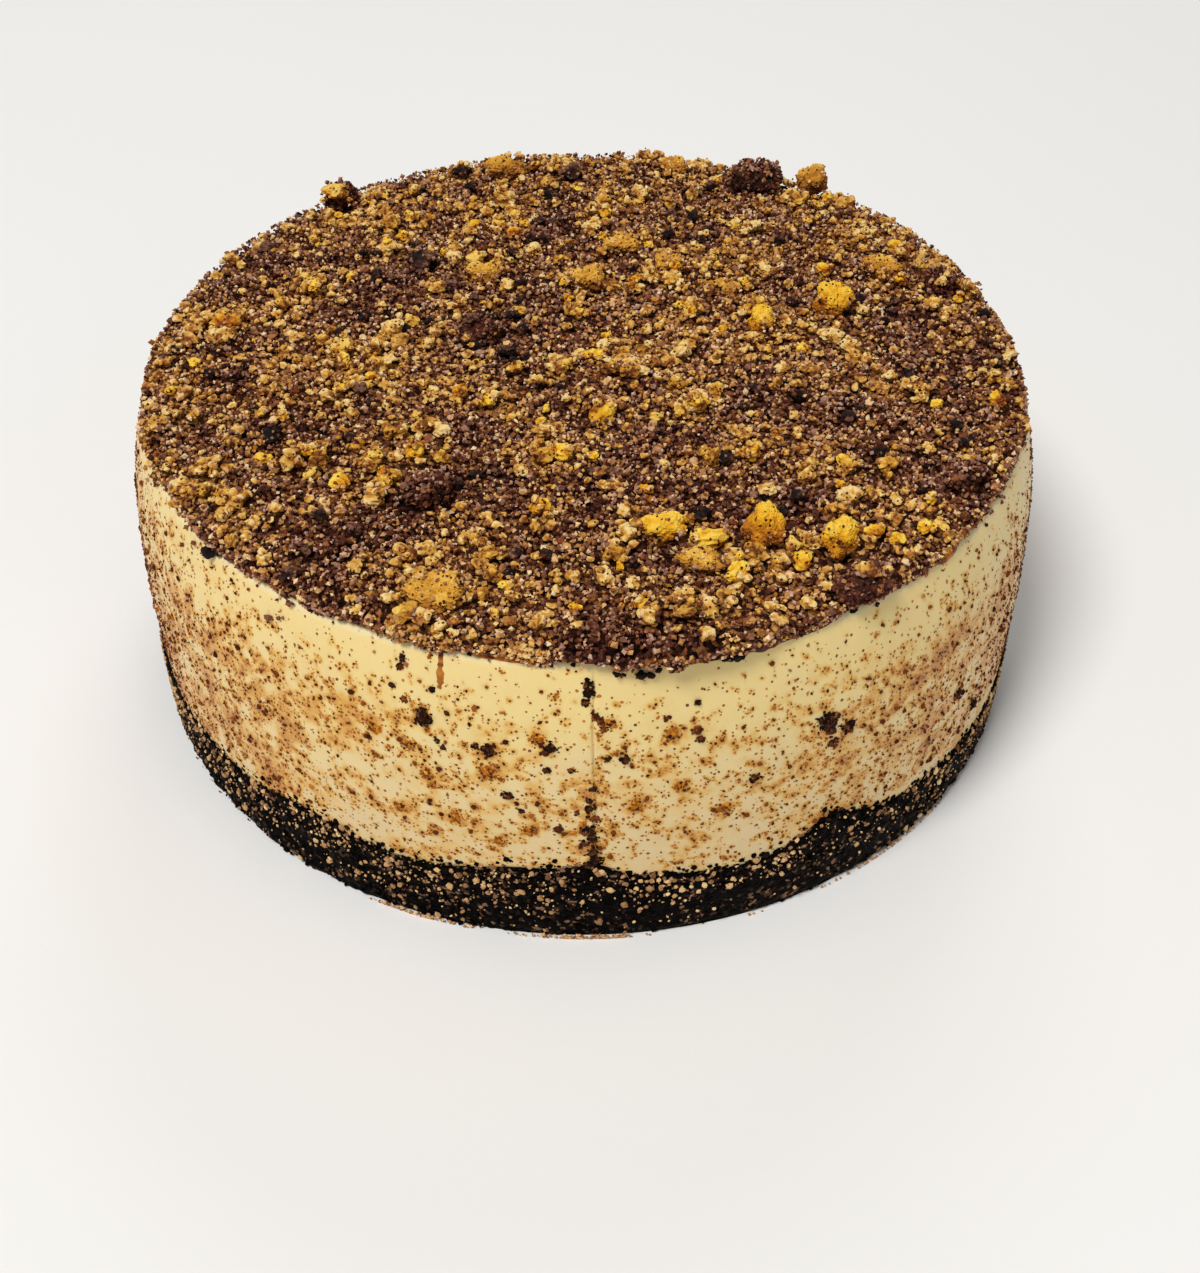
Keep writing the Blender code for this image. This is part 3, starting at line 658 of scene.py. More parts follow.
skin = dotted(tree, skin, where, 0.85, limit, 0.22, 0.22, "0 #7a3c10, 0.5 #b06a22, 1 #d8983e")
# Crumb dust baked into the skin round the crumbs: irregular brown to amber dots of 0.3 to 0.8 mm
sway = {"operation": "MULTIPLY_ADD", 0: fine["Color"], 1: (0.7 * mm,) * 3, 2: where}
limit = mathNode(tree, "MULTIPLY_ADD", valueNode(tree, "dust"), 1.1, stain)
skin = dotted(tree, skin, addNode(tree, "VectorMath", sway)["Vector"], 1.35, limit, 0.11, 0.17,
              "0 #562408, 0.4 #9a5012, 1 #d48e2c")
# The lip at the rim: a pale thin line, a painted highlight along the rounded edge
skin = mixNode(tree, rangeNode(tree, upright, 71.7 * mm, 72.7 * mm, 0.7), skin, "#f1e2b6")
finishMaterial(tree, skin, (fine["Fac"], 0.35, 0.12, False))


def speckDensity(angle, height):
    # From 0 to 1: sparse below the rim, dense low down and round the sides, in patches of 5 and 14 mm.
    down = 1.0 - smoothStep(52.0, 73.0, height)
    turn = np.abs(np.mod(np.degrees(angle) + 90.0 + 180.0, 360.0) - 180.0)
    aside = smoothStep(18.0, 62.0, turn)
    place = onSide(angle, 102.0, height)
    patch = 0.5 + 0.5 * layeredNoise(place, 14.0, 90, 3)
    tight = 0.5 + 0.5 * layeredNoise(place, 5.0, 95, 2)
    level = (0.10 + 0.78 * down) * (0.6 + 0.6 * aside) + 0.12 * aside
    clear = bell(angle - np.radians(-30.0), np.radians(22.0)) * (0.15 + 0.45 * smoothStep(50.0, 62.0, height))
    return np.clip(level * (1.0 - clear) * (0.25 + 1.0 * patch + 0.55 * tight) * 0.9, 0.0, 1.0)


def speckPlaces():
    # Brown specks are even over the side, kept with the density as their chance, and more gather at the seam.
    # Most amber ones lie beside a brown one, a normal distance away.
    rng = np.random.default_rng(sideSpecks["seed"])
    count = sideSpecks["places"]
    angle = rng.uniform(-np.pi, np.pi, count)
    height = rng.uniform(sideSpecks["low"], sideSpecks["high"], count)
    keep = rng.random(count) < speckDensity(angle, height)
    seamCount, spread, low, high = sideSpecks["seam"]
    atSeam = seam + spread * rng.normal(-0.2, 1.0, seamCount) / sideTurn
    angle = np.concatenate([angle[keep], atSeam])
    height = np.concatenate([height[keep], rng.uniform(low, high, seamCount)])
    near = rng.integers(0, len(angle), int(sideSpecks["amberEach"] * len(angle)))
    away = sideSpecks["beside"] * rng.normal(0.0, 1.0, (2, len(near)))
    beside = (angle[near] + away[0] / sideTurn, height[near] + away[1], "amber")
    places = []
    for a, h, kind in ((angle, height, "brown"), beside):
        shown = (h > baseLine(a) + 0.3) & (h < 73.2)
        places.append((a[shown], h[shown], betaWidths(sideSpecks[kind], 0.9, 4.6, shown.sum(), rng)))
    return places, rng


def stainMap(angle, height, width):
    # A map of the unrolled side, 0.5 mm a cell: each speck adds a soft round stain three times its width,
    # e to the power of minus (distance / width) squared.
    stains = np.zeros((1296, 160))
    column = np.mod(angle, 2.0 * np.pi) / (2.0 * np.pi) * stains.shape[0]
    row = height / 0.5
    for di, dj in np.ndindex(9, 9):
        i = np.floor(column).astype(int) + di - 4
        j = np.clip(np.floor(row).astype(int) + dj - 4, 0, stains.shape[1] - 1)
        away = np.hypot(i + 0.5 - column, j + 0.5 - row) * 0.5
        np.add.at(stains, (i % stains.shape[0], j), np.exp(-(away / width) ** 2))
    return stains


def creamRows(angle):
    # Flat top, rounded rim and satin side down to the base, in rows of (radius, height), then the hollow under it.
    line, top = baseLine(angle), cakeForm["fillingTop"]
    rows = [(np.full(len(angle), radius), np.full(len(angle), top)) for radius in (30.0, 70.0, 90.0, 94.0, 95.2)]
    steps = int((top - 17.0) / creamFilling["sideStep"])
    for share in np.arange(steps + 1) / steps:
        height = (top - 0.12) * (1.0 - share) + (line + cakeForm["gap"]) * share
        radius = sideRadius(height)
        place = onSide(angle, radius, height)
        for length, depth, seed in creamFilling["waves"]:
            radius = radius + depth * layeredNoise(place, length, seed, 2)
        # The seam wanders by a fraction of a millimetre, and is deepest at half height and low down
        wander = 0.45 * softNoise(np.stack([height * 0 + 3.0, height * 0, height], -1), 9.0, 88)
        off = shortTurn(angle - seam) * sideTurn - wander
        groove = np.exp(-(off / creamFilling["seamWidth"]) ** 2) * smoothStep(73.5, 69.0, height)
        ledge = 0.22 * np.clip(1.0 - np.abs(off) / 7.0, 0.0, 1.0) * np.where(off < 0.0, 1.0, -0.4)
        rows.append((radius - creamFilling["seamDepth"] * groove + ledge * smoothStep(74.0, 66.0, height), height))
    for radius in (99.0, 94.5, 88.0, 60.0):
        rows.append((np.full(len(angle), radius), baseTop(radius, line) + cakeForm["gap"]))
    return rows


def makeCream():
    # Columns are even round the cake, and closer where the seam runs.
    angle = 2.0 * np.pi * (np.arange(creamFilling["columns"]) / creamFilling["columns"])
    closer = seam + np.radians(np.linspace(-1.2, 1.2, 32))
    even = angle[np.abs(shortTurn(angle - seam)) > np.radians(1.3)]
    angle = np.sort(np.concatenate([even, np.mod(closer, 2.0 * np.pi)]))
    rows = creamRows(angle)
    under = cakeForm["baseMiddle"] + cakeForm["gap"]
    points, angles, heights = turnedPoints(angle, rows, cakeForm["fillingTop"], under)

    places, rng = speckPlaces()
    speckAngle, speckHeight, speckWidth = (np.concatenate(part) for part in zip(*places))
    clumpAngle, clumpHeight, clumpWidth, clumpKind = (np.array(part) for part in zip(*sideClumps))
    clumpAngle = np.radians(clumpAngle)
    stains = 0.40 * stainMap(speckAngle, speckHeight, 0.62 * speckWidth + 0.18)
    amber = clumpKind == "amber"
    stains += 0.45 * stainMap(clumpAngle[amber], clumpHeight[amber], 0.42 * clumpWidth[amber])
    around, up = stains.shape
    column = np.floor(np.mod(angles, 2.0 * np.pi) / (2.0 * np.pi) * around).astype(int) % around
    row = np.clip(np.floor(heights / 0.5).astype(int), 0, up - 1)
    bloom = 0.55 + 1.1 * layeredNoise(onSide(angles, 102.0, heights), 3.6, 98, 2)
    dust = speckDensity(angles, heights)
    stain = 0.7 * np.minimum(stains[column, row], 0.75) + 0.48 * dust * np.clip(bloom, 0.0, 1.2)
    values = {"stain": np.append(stain, [0.0, 0.0]), "dust": np.append(dust, [0.0, 0.0])}
    faces = turnedFaces(len(rows), len(angle))
    piece = putMesh("creamFillingBody", points, faces, creamMaterial, "baked_cream", values=values)
    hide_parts("cream_filling")

    # Specks: low grains set in the skin
    length, depth, seed = creamFilling["waves"][0]
    for name, (a, h, w), material, flat in (("brownSpecks", places[0], speckMaterial, 0.7),
                                            ("amberSpecks", places[1], amberMaterial, 0.45)):
        radius = sideRadius(h) + depth * layeredNoise(onSide(a, sideRadius(h), h), length, seed, 2)
        centres, tones = onSide(a, radius + 0.08 * w, h), rng.beta(1.6, 2.4, len(a))
        putGrains(name, grainsBySize(centres, w, 1.1, flat, rng, tones, sideAxes(a)), material)
    makeSideClumps(zip(clumpAngle, clumpHeight, clumpWidth, clumpKind), rng)


def makeSideClumps(clumps, rng):
    # Each is a small heap of grains round its place, a normal distance away, largest in the middle. Some of
    # a dark clump's grains are brown, and an amber one is mostly fine dots.
    parts = {kind: [] for kind in clumpKinds}
    template = ballTemplate(0)
    for a, h, w, kind in clumps:
        density, widths, rise, other, share = clumpKinds[kind]
        count = int(5 + density * w * w)
        away = 0.26 * w * np.abs(rng.normal(0.0, 1.0, count))
        turn = rng.uniform(0.0, 2.0 * np.pi, count)
        angles, heights = a + away * np.cos(turn) / sideTurn, h + away * np.sin(turn)
        grain = rng.uniform(*widths, count) * min(0.75 + 0.1 * w, 1.15) * np.clip(1.25 - away / w, 0.6, 1.2)
        stand = np.clip(rise * w * (1.0 - (away / (0.5 * w)) ** 2), 0.02, 1.0)
        centres = onSide(angles, sideRadius(heights) + stand, heights)
        mixed = rng.random(count) < share
        for which, chosen in ((kind, ~mixed), (other, mixed)):
            cloud = grainCloud(template, centres[chosen], grain[chosen], 0.7, 0.3, rng, sideAxes(angles[chosen]))
            parts[which].append((*cloud, np.repeat(rng.beta(1.5, 2.6, chosen.sum()), 12)))
    putGrains("darkSideClumps", merged(parts["dark"]), burntMaterial)
    putGrains("brownSideClumps", merged(parts["brown"]), speckMaterial)
    putGrains("amberSideClumps", merged(parts["amber"] + parts["pale"]), amberMaterial)


print("cream filling")
makeCream()


# Grains on the side of the base

baseGrains = {
    "seed": 410,
    "black": (4800, (0.7, 1.9)),
    "tan": (9300, (0.3, 2.9)),
    "fringe": (1500, (0.35, 1.0)),
}


def makeBaseGrains():
    rng = np.random.default_rng(baseGrains["seed"])
    # Black crumbs roughen the side and fray its upper line; tan ones lie in patches, mostly high up.
    count, widths = baseGrains["black"]
    angle = rng.uniform(-np.pi, np.pi, count)
    line = baseLine(angle)
    share = np.where(rng.random(count) < 0.42, rng.normal(1.0, 0.07, count), rng.uniform(0.03, 1.0, count))
    height = np.clip(line * share, 0.6, line + 3.4)
    width = betaWidths(widths, 1.4, 2.6, count, rng)
    radius = cakeForm["baseRadius"] + 0.12 - 0.12 * width
    radius = np.where(height > line, sideRadius(height) - 0.02 * width, radius)
    radius = np.minimum(radius, cakeForm["widest"] - 0.36 * width) - 0.5 * smoothPatch(angle, height)
    tones = rng.beta(1.5, 3.0, count)
    grains = grainsBySize(onSide(angle, radius, height), width, 1.35, 0.62, rng, tones, sideAxes(angle))
    putGrains("baseBlackCrumbs", grains, blackMaterial, "dark_crumb_base")

    count, widths = baseGrains["tan"]
    angle = rng.uniform(-np.pi, np.pi, count)
    line = baseLine(angle)
    height = line * (1.05 - 1.01 * rng.beta(1.0, 1.7, count))
    patch = 0.5 + 0.5 * layeredNoise(onSide(angle, 103.0, height), 9.0, 93, 2)
    chance = (0.15 + 1.15 * patch) * (1.0 - 0.9 * smoothPatch(angle, height)) * (0.4 + 0.6 * height / line)
    chance = chance * (1.0 - 0.4 * bell(angle - np.radians(-52.0), np.radians(28.0)))
    keep = rng.random(count) < chance
    angle, height = angle[keep], height[keep]
    width = betaWidths(widths, 0.95, 5.8, len(angle), rng)
    radius = np.minimum(cakeForm["baseRadius"] + 0.45 - 0.1 * width, cakeForm["widest"] - 0.3 * width)
    radius = np.where(height > baseLine(angle), sideRadius(height) + 0.1 * width, radius)
    tones = rng.beta(1.5, 1.9, len(angle))
    grains = grainsBySize(onSide(angle, radius, height), width, 0.9, 0.75, rng, tones, sideAxes(angle))
    putGrains("baseTanCrumbs", grains, pinkTanMaterial)

    # The fringe: fine golden crumbs that stick to the lower front edge.
    count, widths = baseGrains["fringe"]
    angle = np.radians(-88.0) + np.radians(20.0) * rng.normal(0.0, 1.0, count)
    patch = 0.5 + 0.5 * ringNoise(angle, 11.0, 97, 2, 103.0)
    angle = angle[rng.random(count) < 3.0 * patch - 1.35]
    width = betaWidths(widths, 1.4, 3.0, len(angle), rng)
    height = 0.45 * width + 1.7 * rng.beta(1.0, 3.5, len(angle))
    radius = np.minimum(cakeForm["baseRadius"] + 0.4, cakeForm["widest"] - 0.3 * width)
    cloud = grainCloud(ballTemplate(0), onSide(angle, radius, height), width, 0.7, 0.22, rng, sideAxes(angle))
    putGrains("footFringe", (*cloud, np.repeat(rng.beta(1.6, 2.4, len(angle)), 12)), tanMaterial)


print("grains on the base")
makeBaseGrains()


# The bed of crumbs on top

crumbBed = {
    "steps": 306,
    "rise": 2.1,
    "lower": 1.15,  # the bed lies this much under the layer's top, and the loose grains fill it up
    "lumps": ((3.4, 0.9, 120), (1.9, 0.55, 126)),
    "swell": (13.0, 1.1),
    "mounds": (6.5, 1.2),
    "taper": 5.0,
}
# Patches seen on top: x, y, radius. Dark ones have fewer light crumbs, golden ones more.
darkPatches = (
    (-31, -52, 7), (76, -45, 8), (55, -79, 9), (-23, 7, 8), (-63, -32, 8), (-40, 36, 8), (7, -91, 9),
    (71, -26, 9), (-76, -13, 6), (47, 31, 6), (27, -60, 6), (23, -94, 8), (1, -95, 6), (-46, -73, 7),
    (15, -34, 7), (-10, 52, 7), (-61, -53, 6), (73, 14, 7), (57, -24, 7), (-24, -32, 7), (43, 76, 9),
    (15, -70, 7), (45, -55, 6), (-55, -68, 5))
goldPatches = (
    (-27, 35, 7), (1, 30, 6), (7, 66, 8), (17, -6, 8), (-6, -41, 6), (23, -24, 7), (-76, -51, 8),
    (-29, -84, 7), (-18, -81, 6), (-5, -60, 6), (-35, -37, 8), (-72, 18, 9), (-83, 12, 6), (-63, 19, 8),
    (48, -45, 8), (64, -14, 6), (83, 7, 6), (42, 8, 7), (28, -86, 5), (-20, 66, 8), (21, 40, 8),
    (-39, -48, 6), (-18, -22, 7), (-53, -7, 8), (40, -72, 6), (-6, -92, 5), (-64, -61, 6), (-48, 45, 8),
    (36, -36, 6), (70, 33, 8), (66, 52, 9), (56, 68, 8))

# Mixed biscuit crumb heaped and pressed lightly: dark brown with lighter crumb faces, matt, and kept nearly black so
# that the gaps between loose grains show as painted shade.
bedMaterial, tree, where = newMaterial("mixedCrumbBed", {
    "Roughness": 0.8, "IOR": 1.45, "Specular IOR Level": 0.08})
away, luck = cellsNode(tree, where, 0.8)
total = mathNode(tree, "ADD", luck[0], mathNode(tree, "MULTIPLY_ADD", valueNode(tree, "gold"), 0.35, 0.0))
colour = rampNode(tree, "0 #140401, 0.4 #34180e, 0.7 #663c26, 0.88 #9c6634, 1 #cc964c", total)
finishMaterial(tree, colour, (away, 1.0, 0.4, True))


def goldField(x, y):
    # From -1, all dark, to 1, all golden: noise of 32, 15 and 5.5 mm plus a bell for each patch seen.
    place = np.stack([x, y, 0.0 * x], -1)
    field = 0.7 * layeredNoise(place, 15.0, 140, 2) + 0.8 * layeredNoise(place, 5.5, 145, 2)
    field = field + 0.3 * softNoise(place, 32.0, 147)
    for patches, sign in ((darkPatches, -0.75), (goldPatches, 0.6)):
        for px, py, radius in patches:
            field = field + sign * np.exp(-((x - px) ** 2 + (y - py) ** 2) / (0.8 * radius) ** 2)
    return np.clip(field, -1.0, 1.0)


def bedHeight(x, y):
    # The layer's top, lower towards its edge, with a slow swell and packed lumps of two sizes.
    inside = smoothStep(0.0, crumbBed["taper"], layerEdge(np.arctan2(y, x)) - np.hypot(x, y))
    place = np.stack([x, y, 0.0 * x], -1)
    height = bedFoot + 1.9 + crumbBed["rise"] * inside - crumbBed["lower"]
    height = height + crumbBed["swell"][1] * layeredNoise(place, crumbBed["swell"][0], 150, 2) * inside
    mounds = crumbBed["mounds"][1] * layeredNoise(place, crumbBed["mounds"][0], 155, 2)
    height = height + mounds * (0.4 + 0.6 * inside)
    for size, depth, seed in crumbBed["lumps"]:
        height = height + depth * (packedLumps(place, size, seed) - 0.4)
    return np.maximum(height, bedFoot + 0.2)


def makeBed():
    # A square grid pressed round into a disc: for |a| > |b| the radius is a and the angle pi/4 * b/a,
    # else the radius is b and the angle pi/2 - pi/4 * a/b. The radius is then times the edge's radius.
    steps = crumbBed["steps"]
    line = np.linspace(-1.0, 1.0, steps + 1) + 1e-7
    a, b = np.meshgrid(line, line, indexing="ij")
    wide = np.abs(a) > np.abs(b)
    radius = np.where(wide, a, b)
    angle = np.where(wide, np.pi / 4.0 * b / a, np.pi / 2.0 - np.pi / 4.0 * a / b)
    x, y = radius * np.cos(angle), radius * np.sin(angle)
    edge = layerEdge(np.arctan2(y, x))
    x, y = x * edge, y * edge
    top = np.stack([x, y, bedHeight(x, y)], -1).reshape(-1, 3)
    # A skirt from the rim down to the filling, and a fan under it
    s, n = np.arange(steps), steps + 1
    rim = np.concatenate([s * n, steps * n + s, (steps - s) * n + steps, steps - s])
    below = top[rim] * (1.0, 1.0, 0.0) + (0.0, 0.0, bedFoot)
    points = np.vstack([top, below, [(0.0, 0.0, bedFoot)]])
    low = len(top) + np.arange(len(rim))
    ahead = np.roll(np.arange(len(rim)), -1)
    skirt = np.stack([rim, low, low[ahead], rim[ahead]], -1)
    under = np.stack([low, np.full(len(rim), len(points) - 1), low[ahead]], -1)
    gold = np.concatenate([goldField(top[:, 0], top[:, 1]), np.zeros(len(rim) + 1)])
    faces = [gridFaces(n, n), skirt, under]
    piece = putMesh("crumbBedBody", points, faces, bedMaterial, "mixed_crumbs", values={"gold": gold})
    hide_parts("crumb_topping")


print("bed of crumbs")
makeBed()


# Pieces of broken biscuit

# x, y, width, depth, height in mm and turn in degrees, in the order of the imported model's nodes
goldenPieces = (
    (16.0, -65.5, 9.0, 6.5, 6.5, 8), (22.5, -74.5, 9.5, 6.5, 5.0, -12), (35.0, -66.0, 8.6, 8.4, 9.0, 35),
    (49.0, -69.5, 7.2, 8.0, 8.5, -20), (1.0, 27.0, 9.2, 8.0, 6.5, 15), (57.0, 17.0, 9.0, 8.6, 8.5, 50),
    (70.5, 33.0, 11.0, 7.4, 6.0, -18), (19.0, 34.0, 7.6, 7.0, 6.0, 70), (-24.0, 30.0, 8.4, 6.4, 5.5, 5),
    (39.5, 9.5, 6.6, 7.0, 6.5, 30), (-27.0, -84.5, 11.4, 9.0, 4.8, -18), (8.0, 43.5, 9.8, 8.0, 5.5, 20),
    (-21.5, 82.0, 11.2, 7.0, 6.0, 4), (56.5, 75.0, 9.4, 7.6, 8.0, 25), (22.0, 83.0, 8.2, 6.6, 6.2, -8))
darkPieces = (
    (43.0, 76.0, 13.0, 8.6, 7.8, -12), (-30.5, -55.5, 9.2, 8.4, 6.5, 40), (-23.5, 3.0, 8.6, 7.0, 6.0, 15),
    (53.0, -80.0, 12.6, 7.4, 4.6, 24), (76.5, -48.0, 11.0, 6.2, 5.0, 48), (-62.0, 66.0, 8.4, 6.6, 6.2, 35),
    (82.5, 27.0, 8.2, 7.0, 5.2, -30))
brightPieces = (1, 3, 4, 6, 10)  # bright yellow; the others are honey brown
goldenTones = (0.10, 0.04, -0.06, 0.06, 0.04, -0.02, -0.06, -0.04, 0.02, 0.08, -0.05, -0.06, -0.10, -0.06, -0.08)
# Smaller ones, which lie loose: x, y, width, depth, height
goldenBits = ((3.4, -25.4, 6.7, 5.9, 4.4), (-34.0, -40.0, 5.2, 4.5, 3.6), (-80.5, 7.0, 5.6, 5.6, 4.2),
              (42.1, -74.0, 4.4, 4.0, 3.6), (25.0, -67.0, 7.6, 4.6, 3.8), (-8.0, -60.0, 4.6, 4.0, 3.2),
              (24.0, -24.0, 4.8, 4.2, 3.4), (88.0, -21.0, 4.4, 3.6, 3.2), (-4.0, -41.5, 4.2, 3.8, 3.0))
darkBits = (
    (-32.1, 81.2, 5.6, 4.1, 3.4), (-39.4, 36.3, 9.5, 6.6, 3.6), (-64.1, -35.1, 5.3, 4.1, 3.0),
    (-4.7, 79.9, 7.7, 5.1, 3.6))


def brokenForm(template, count, rng):
    # A ball made boxy, |x|^3 + |y|^3 + |z|^3 = 1, with lobes of stuck crumbs and fine relief on it.
    directions = template[0]
    boxy = 1.0 / (np.abs(directions) ** 3.0).sum(axis=1) ** (1.0 / 3.0)
    reach = lobedForms(template, count, rng, 22, 0.62, (0.30, 0.52), 0.72) * (0.55 + 0.45 * boxy)
    forms = []
    for number in range(count):
        strength = 1.0 if number + 1 in brightPieces else 1.5
        place = directions * 4.0 + 31.0 * number
        rough = 0.10 * layeredNoise(place, 1.6, 200 + number, 3)
        for size, seed in ((1.1, 230), (0.5, 260)):
            rough = rough + 0.13 * (packedLumps(place, size, seed + number) - 0.3)
        forms.append(directions * (reach[number] * (1.0 + strength * rough))[:, None])
    # How far each point stands out, lowest in a crease: used later to darken the creases as painted shade
    return np.stack(forms), np.clip((reach - reach.mean(axis=1, keepdims=True)) * 2.2, -1.0, 1.0)


def makeChunks():
    # Each fills the box of its node. Browner low down and in its creases, lighter on top: painted shade and painted
    # light.
    template = ballTemplate(4)
    chunks = []
    for kind, table, slotName in (("golden", goldenPieces, "golden_biscuit"), ("dark", darkPieces, "dark_biscuit")):
        forms, creases = brokenForm(template, len(table), np.random.default_rng(500 + len(kind)))
        for number, (x, y, width, depth, height, turn) in enumerate(table):
            nodeName = f"{kind}_chunk_{number + 1}"
            low, high = (np.array(corner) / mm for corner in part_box(nodeName))
            c, s = np.cos(np.radians(turn)), np.sin(np.radians(turn))
            form = forms[number] * (width, depth, height)
            form = form @ np.array([(c, s, 0.0), (-s, c, 0.0), (0.0, 0.0, 1.0)])
            least, most = form.min(axis=0), form.max(axis=0)
            form = (form - least) / (most - least) * (high - low) + low
            share = (form[:, 2] - low[2]) / (high[2] - low[2])
            # Painted light and shade: lighter towards the top, darker low down and in the creases
            tone = 0.18 + 0.62 * smoothStep(0.25, 0.95, share) + 0.22 * creases[number]
            bright, material = False, darkBiscuitMaterial
            if kind == "golden":
                bright = number + 1 in brightPieces
                material = goldenBiscuitMaterial if bright else honeyBiscuitMaterial
                tone = tone + goldenTones[number]
            piece = putMesh(f"{kind}Biscuit{number + 1}", form, [template[1]], material, slotName,
                            smooth=False, values={"tone": tone})
            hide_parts(nodeName)
            chunks.append({"x": x, "y": y, "width": width, "depth": depth, "turn": math.radians(turn),
                           "top": high[2], "clean": kind == "golden", "bright": bright, "form": form})
    return chunks


print("broken biscuit")
chunks = makeChunks()


# Loose crumbs on top

topCrumbs = {
    "cell": 0.4,  # of the map of heights, in mm
    # Clumps: count, widths, seed. Grains: count, widths, passes, seed. Edge: count, widths, heights, seed.
    "softClumps": (235, (2.6, 6.4), 520),
    "honeyClumps": (120, (2.8, 6.4), 522),
    "rimClumps": (100, (2.2, 5.0), 527),
    "smallClumps": (1250, (1.5, 3.2), 525),
    "cocoaClumps": (110, (2.4, 4.6), 530),
    "goldenClumps": (75, (2.4, 4.8), 535),
    "medium": (12000, (1.1, 2.2), 3, 540),
    "fine": (42500, (0.6, 1.35), 5, 550),
    "last": (9500, (0.55, 1.5), 2, 560),
    "rim": (3200, (0.6, 1.8), 3, 570),
    "stuckSeed": 575,
    "stuckDark": (430, (0.7, 1.65)),
    "stuckBright": (60, (0.5, 1.2)),  # low on them
    "stuckHoney": (85, (0.5, 1.4)),
    "edge": ((2900, (0.6, 1.6), 74.4, 76.6, 577), (3600, (0.6, 1.6), 72.4, 74.5, 578)),
    "syrup": ((-96.5, 4.6), (-43.0, 3.6)),  # stretches with golden crumbs in syrup: middle and half width, degrees
    "highest": 84.9,
}
# Radius of the crumbs' outer line, by angle, where it is seen at the front
frontLine = (
    (-180, 97.0), (-154, 97.4), (-139, 98.0), (-131, 97.6), (-118, 97.8), (-111, 98.2), (-99, 97.4),
    (-94, 97.2), (-88, 97.9), (-81, 98.2), (-74, 98.3), (-69, 98.2), (-64, 98.0), (-59, 97.6), (-48, 98.0),
    (-35, 97.4), (-20, 96.8), (15, 96.0), (65, 96.4), (90, 93.0), (150, 93.2), (180, 97.0))


def outerLine(angle):
    degrees, radii = np.array(frontLine).T
    return np.interp(np.degrees(angle), degrees, radii) + 0.9 * ringNoise(angle, 5.0, 160, 3)


def acrossChunk(chunk, x, y, share=1.0):
    # The square of the distance from a piece's middle, 1 at this share of its outline
    dx, dy, turn = x - chunk["x"], y - chunk["y"], chunk["turn"]
    u = (dx * np.cos(turn) + dy * np.sin(turn)) / (0.5 * chunk["width"] * share)
    v = (-dx * np.sin(turn) + dy * np.cos(turn)) / (0.5 * chunk["depth"] * share)
    return u * u + v * v


def newGround(cell):
    # Heights of what lies on the cake so far, on a square grid seen from above, with the cells that a clump covers
    # and those over the dark pieces.
    half = int(106.0 / cell)
    line = np.arange(-half, half + 1) * cell
    x, y = np.meshgrid(line, line, indexing="ij")
    radius, angle = np.hypot(x, y), np.arctan2(y, x)
    profile = np.array(cakeForm["side"])[::-1]
    slope = np.interp(radius, profile[:, 0], profile[:, 1], left=cakeForm["fillingTop"], right=17.0)
    heights = np.where(radius < layerEdge(angle), bedHeight(x, y), slope)
    burnt = np.zeros(x.shape, bool)
    for chunk in chunks:
        dome = 1.0 - acrossChunk(chunk, x, y)
        lift = chunk["top"] - 3.0 + 2.9 * np.sqrt(np.maximum(dome, 0.0))
        heights = np.where(dome > 0.0, np.maximum(heights, lift), heights)
        burnt |= (dome > -0.4) & (not chunk["clean"])
    return {"cell": cell, "half": half, "heights": heights, "kept": np.zeros(x.shape, bool), "burnt": burnt}


def cellsAt(ground, x, y, di=0, dj=0):
    half = ground["half"]
    i = np.clip(np.round(x / ground["cell"]).astype(int) + half + di, 0, 2 * half)
    j = np.clip(np.round(y / ground["cell"]).astype(int) + half + dj, 0, 2 * half)
    return i, j


def square(reach):
    return [(di, dj) for di in range(-reach, reach + 1) for dj in range(-reach, reach + 1)]


def meanGround(ground, x, y, reach):
    # The mean of the square of cells about a place, or with reach 0 of its cell and the four beside it
    steps = square(reach) if reach else [(0, 0), (1, 0), (-1, 0), (0, 1), (0, -1)]
    return sum(ground["heights"][cellsAt(ground, x, y, di, dj)] for di, dj in steps) / len(steps)


def underGrain(ground, width):
    # The cells that the widest grain may cover, and how far each is from its middle
    wide = max(int(np.ceil(0.5 * float(np.max(width)) / ground["cell"])), 1)
    return [(di, dj, np.hypot(di, dj) * ground["cell"]) for di, dj in square(wide)]


def settle(ground, x, y, width, height, sink):
    # Each grain comes to rest on the mean of the ground under it, less its sink, and then counts as ground itself.
    reach = int(round(0.35 * float(np.median(width)) / ground["cell"]))
    middle = meanGround(ground, x, y, reach) + height * (0.5 - sink)
    for di, dj, distance in underGrain(ground, width):
        away = distance / (0.5 * width)
        under = away < 1.0
        rise = middle[under] + 0.5 * height[under] * np.sqrt(1.0 - away[under] ** 2)
        np.maximum.at(ground["heights"], cellsAt(ground, x[under], y[under], di, dj), rise)
    return middle


def keepClear(ground, x, y, width):
    for di, dj, distance in underGrain(ground, width):
        under = distance < 0.5 * width
        ground["kept"][cellsAt(ground, x[under], y[under], di, dj)] = True


def scatterPlaces(count, rng, over):
    # Even over the disc: radius by the root of a random number, out to the crumbs' outer line.
    angle = rng.uniform(-np.pi, np.pi, count)
    radius = (outerLine(angle) + over) * np.sqrt(rng.random(count))
    return radius * np.cos(angle), radius * np.sin(angle)


def rimPlaces(count, rng):
    # Round the crumbs' outer line, more of them in some stretches than in others.
    angle = rng.uniform(-np.pi, np.pi, count)
    angle = angle[rng.random(count) < 0.55 + 0.9 * ringNoise(angle, 9.0, 165, 2)]
    radius = outerLine(angle) + rng.normal(-0.4, 0.8, len(angle))
    return radius * np.cos(angle), radius * np.sin(angle)


def clearOfChunks(x, y, share):
    # True where a place lies outside this share of every golden piece's outline.
    free = np.ones(len(x), bool)
    for chunk in chunks:
        if chunk["clean"]:
            free &= acrossChunk(chunk, x, y, share) > 1.0
    return free


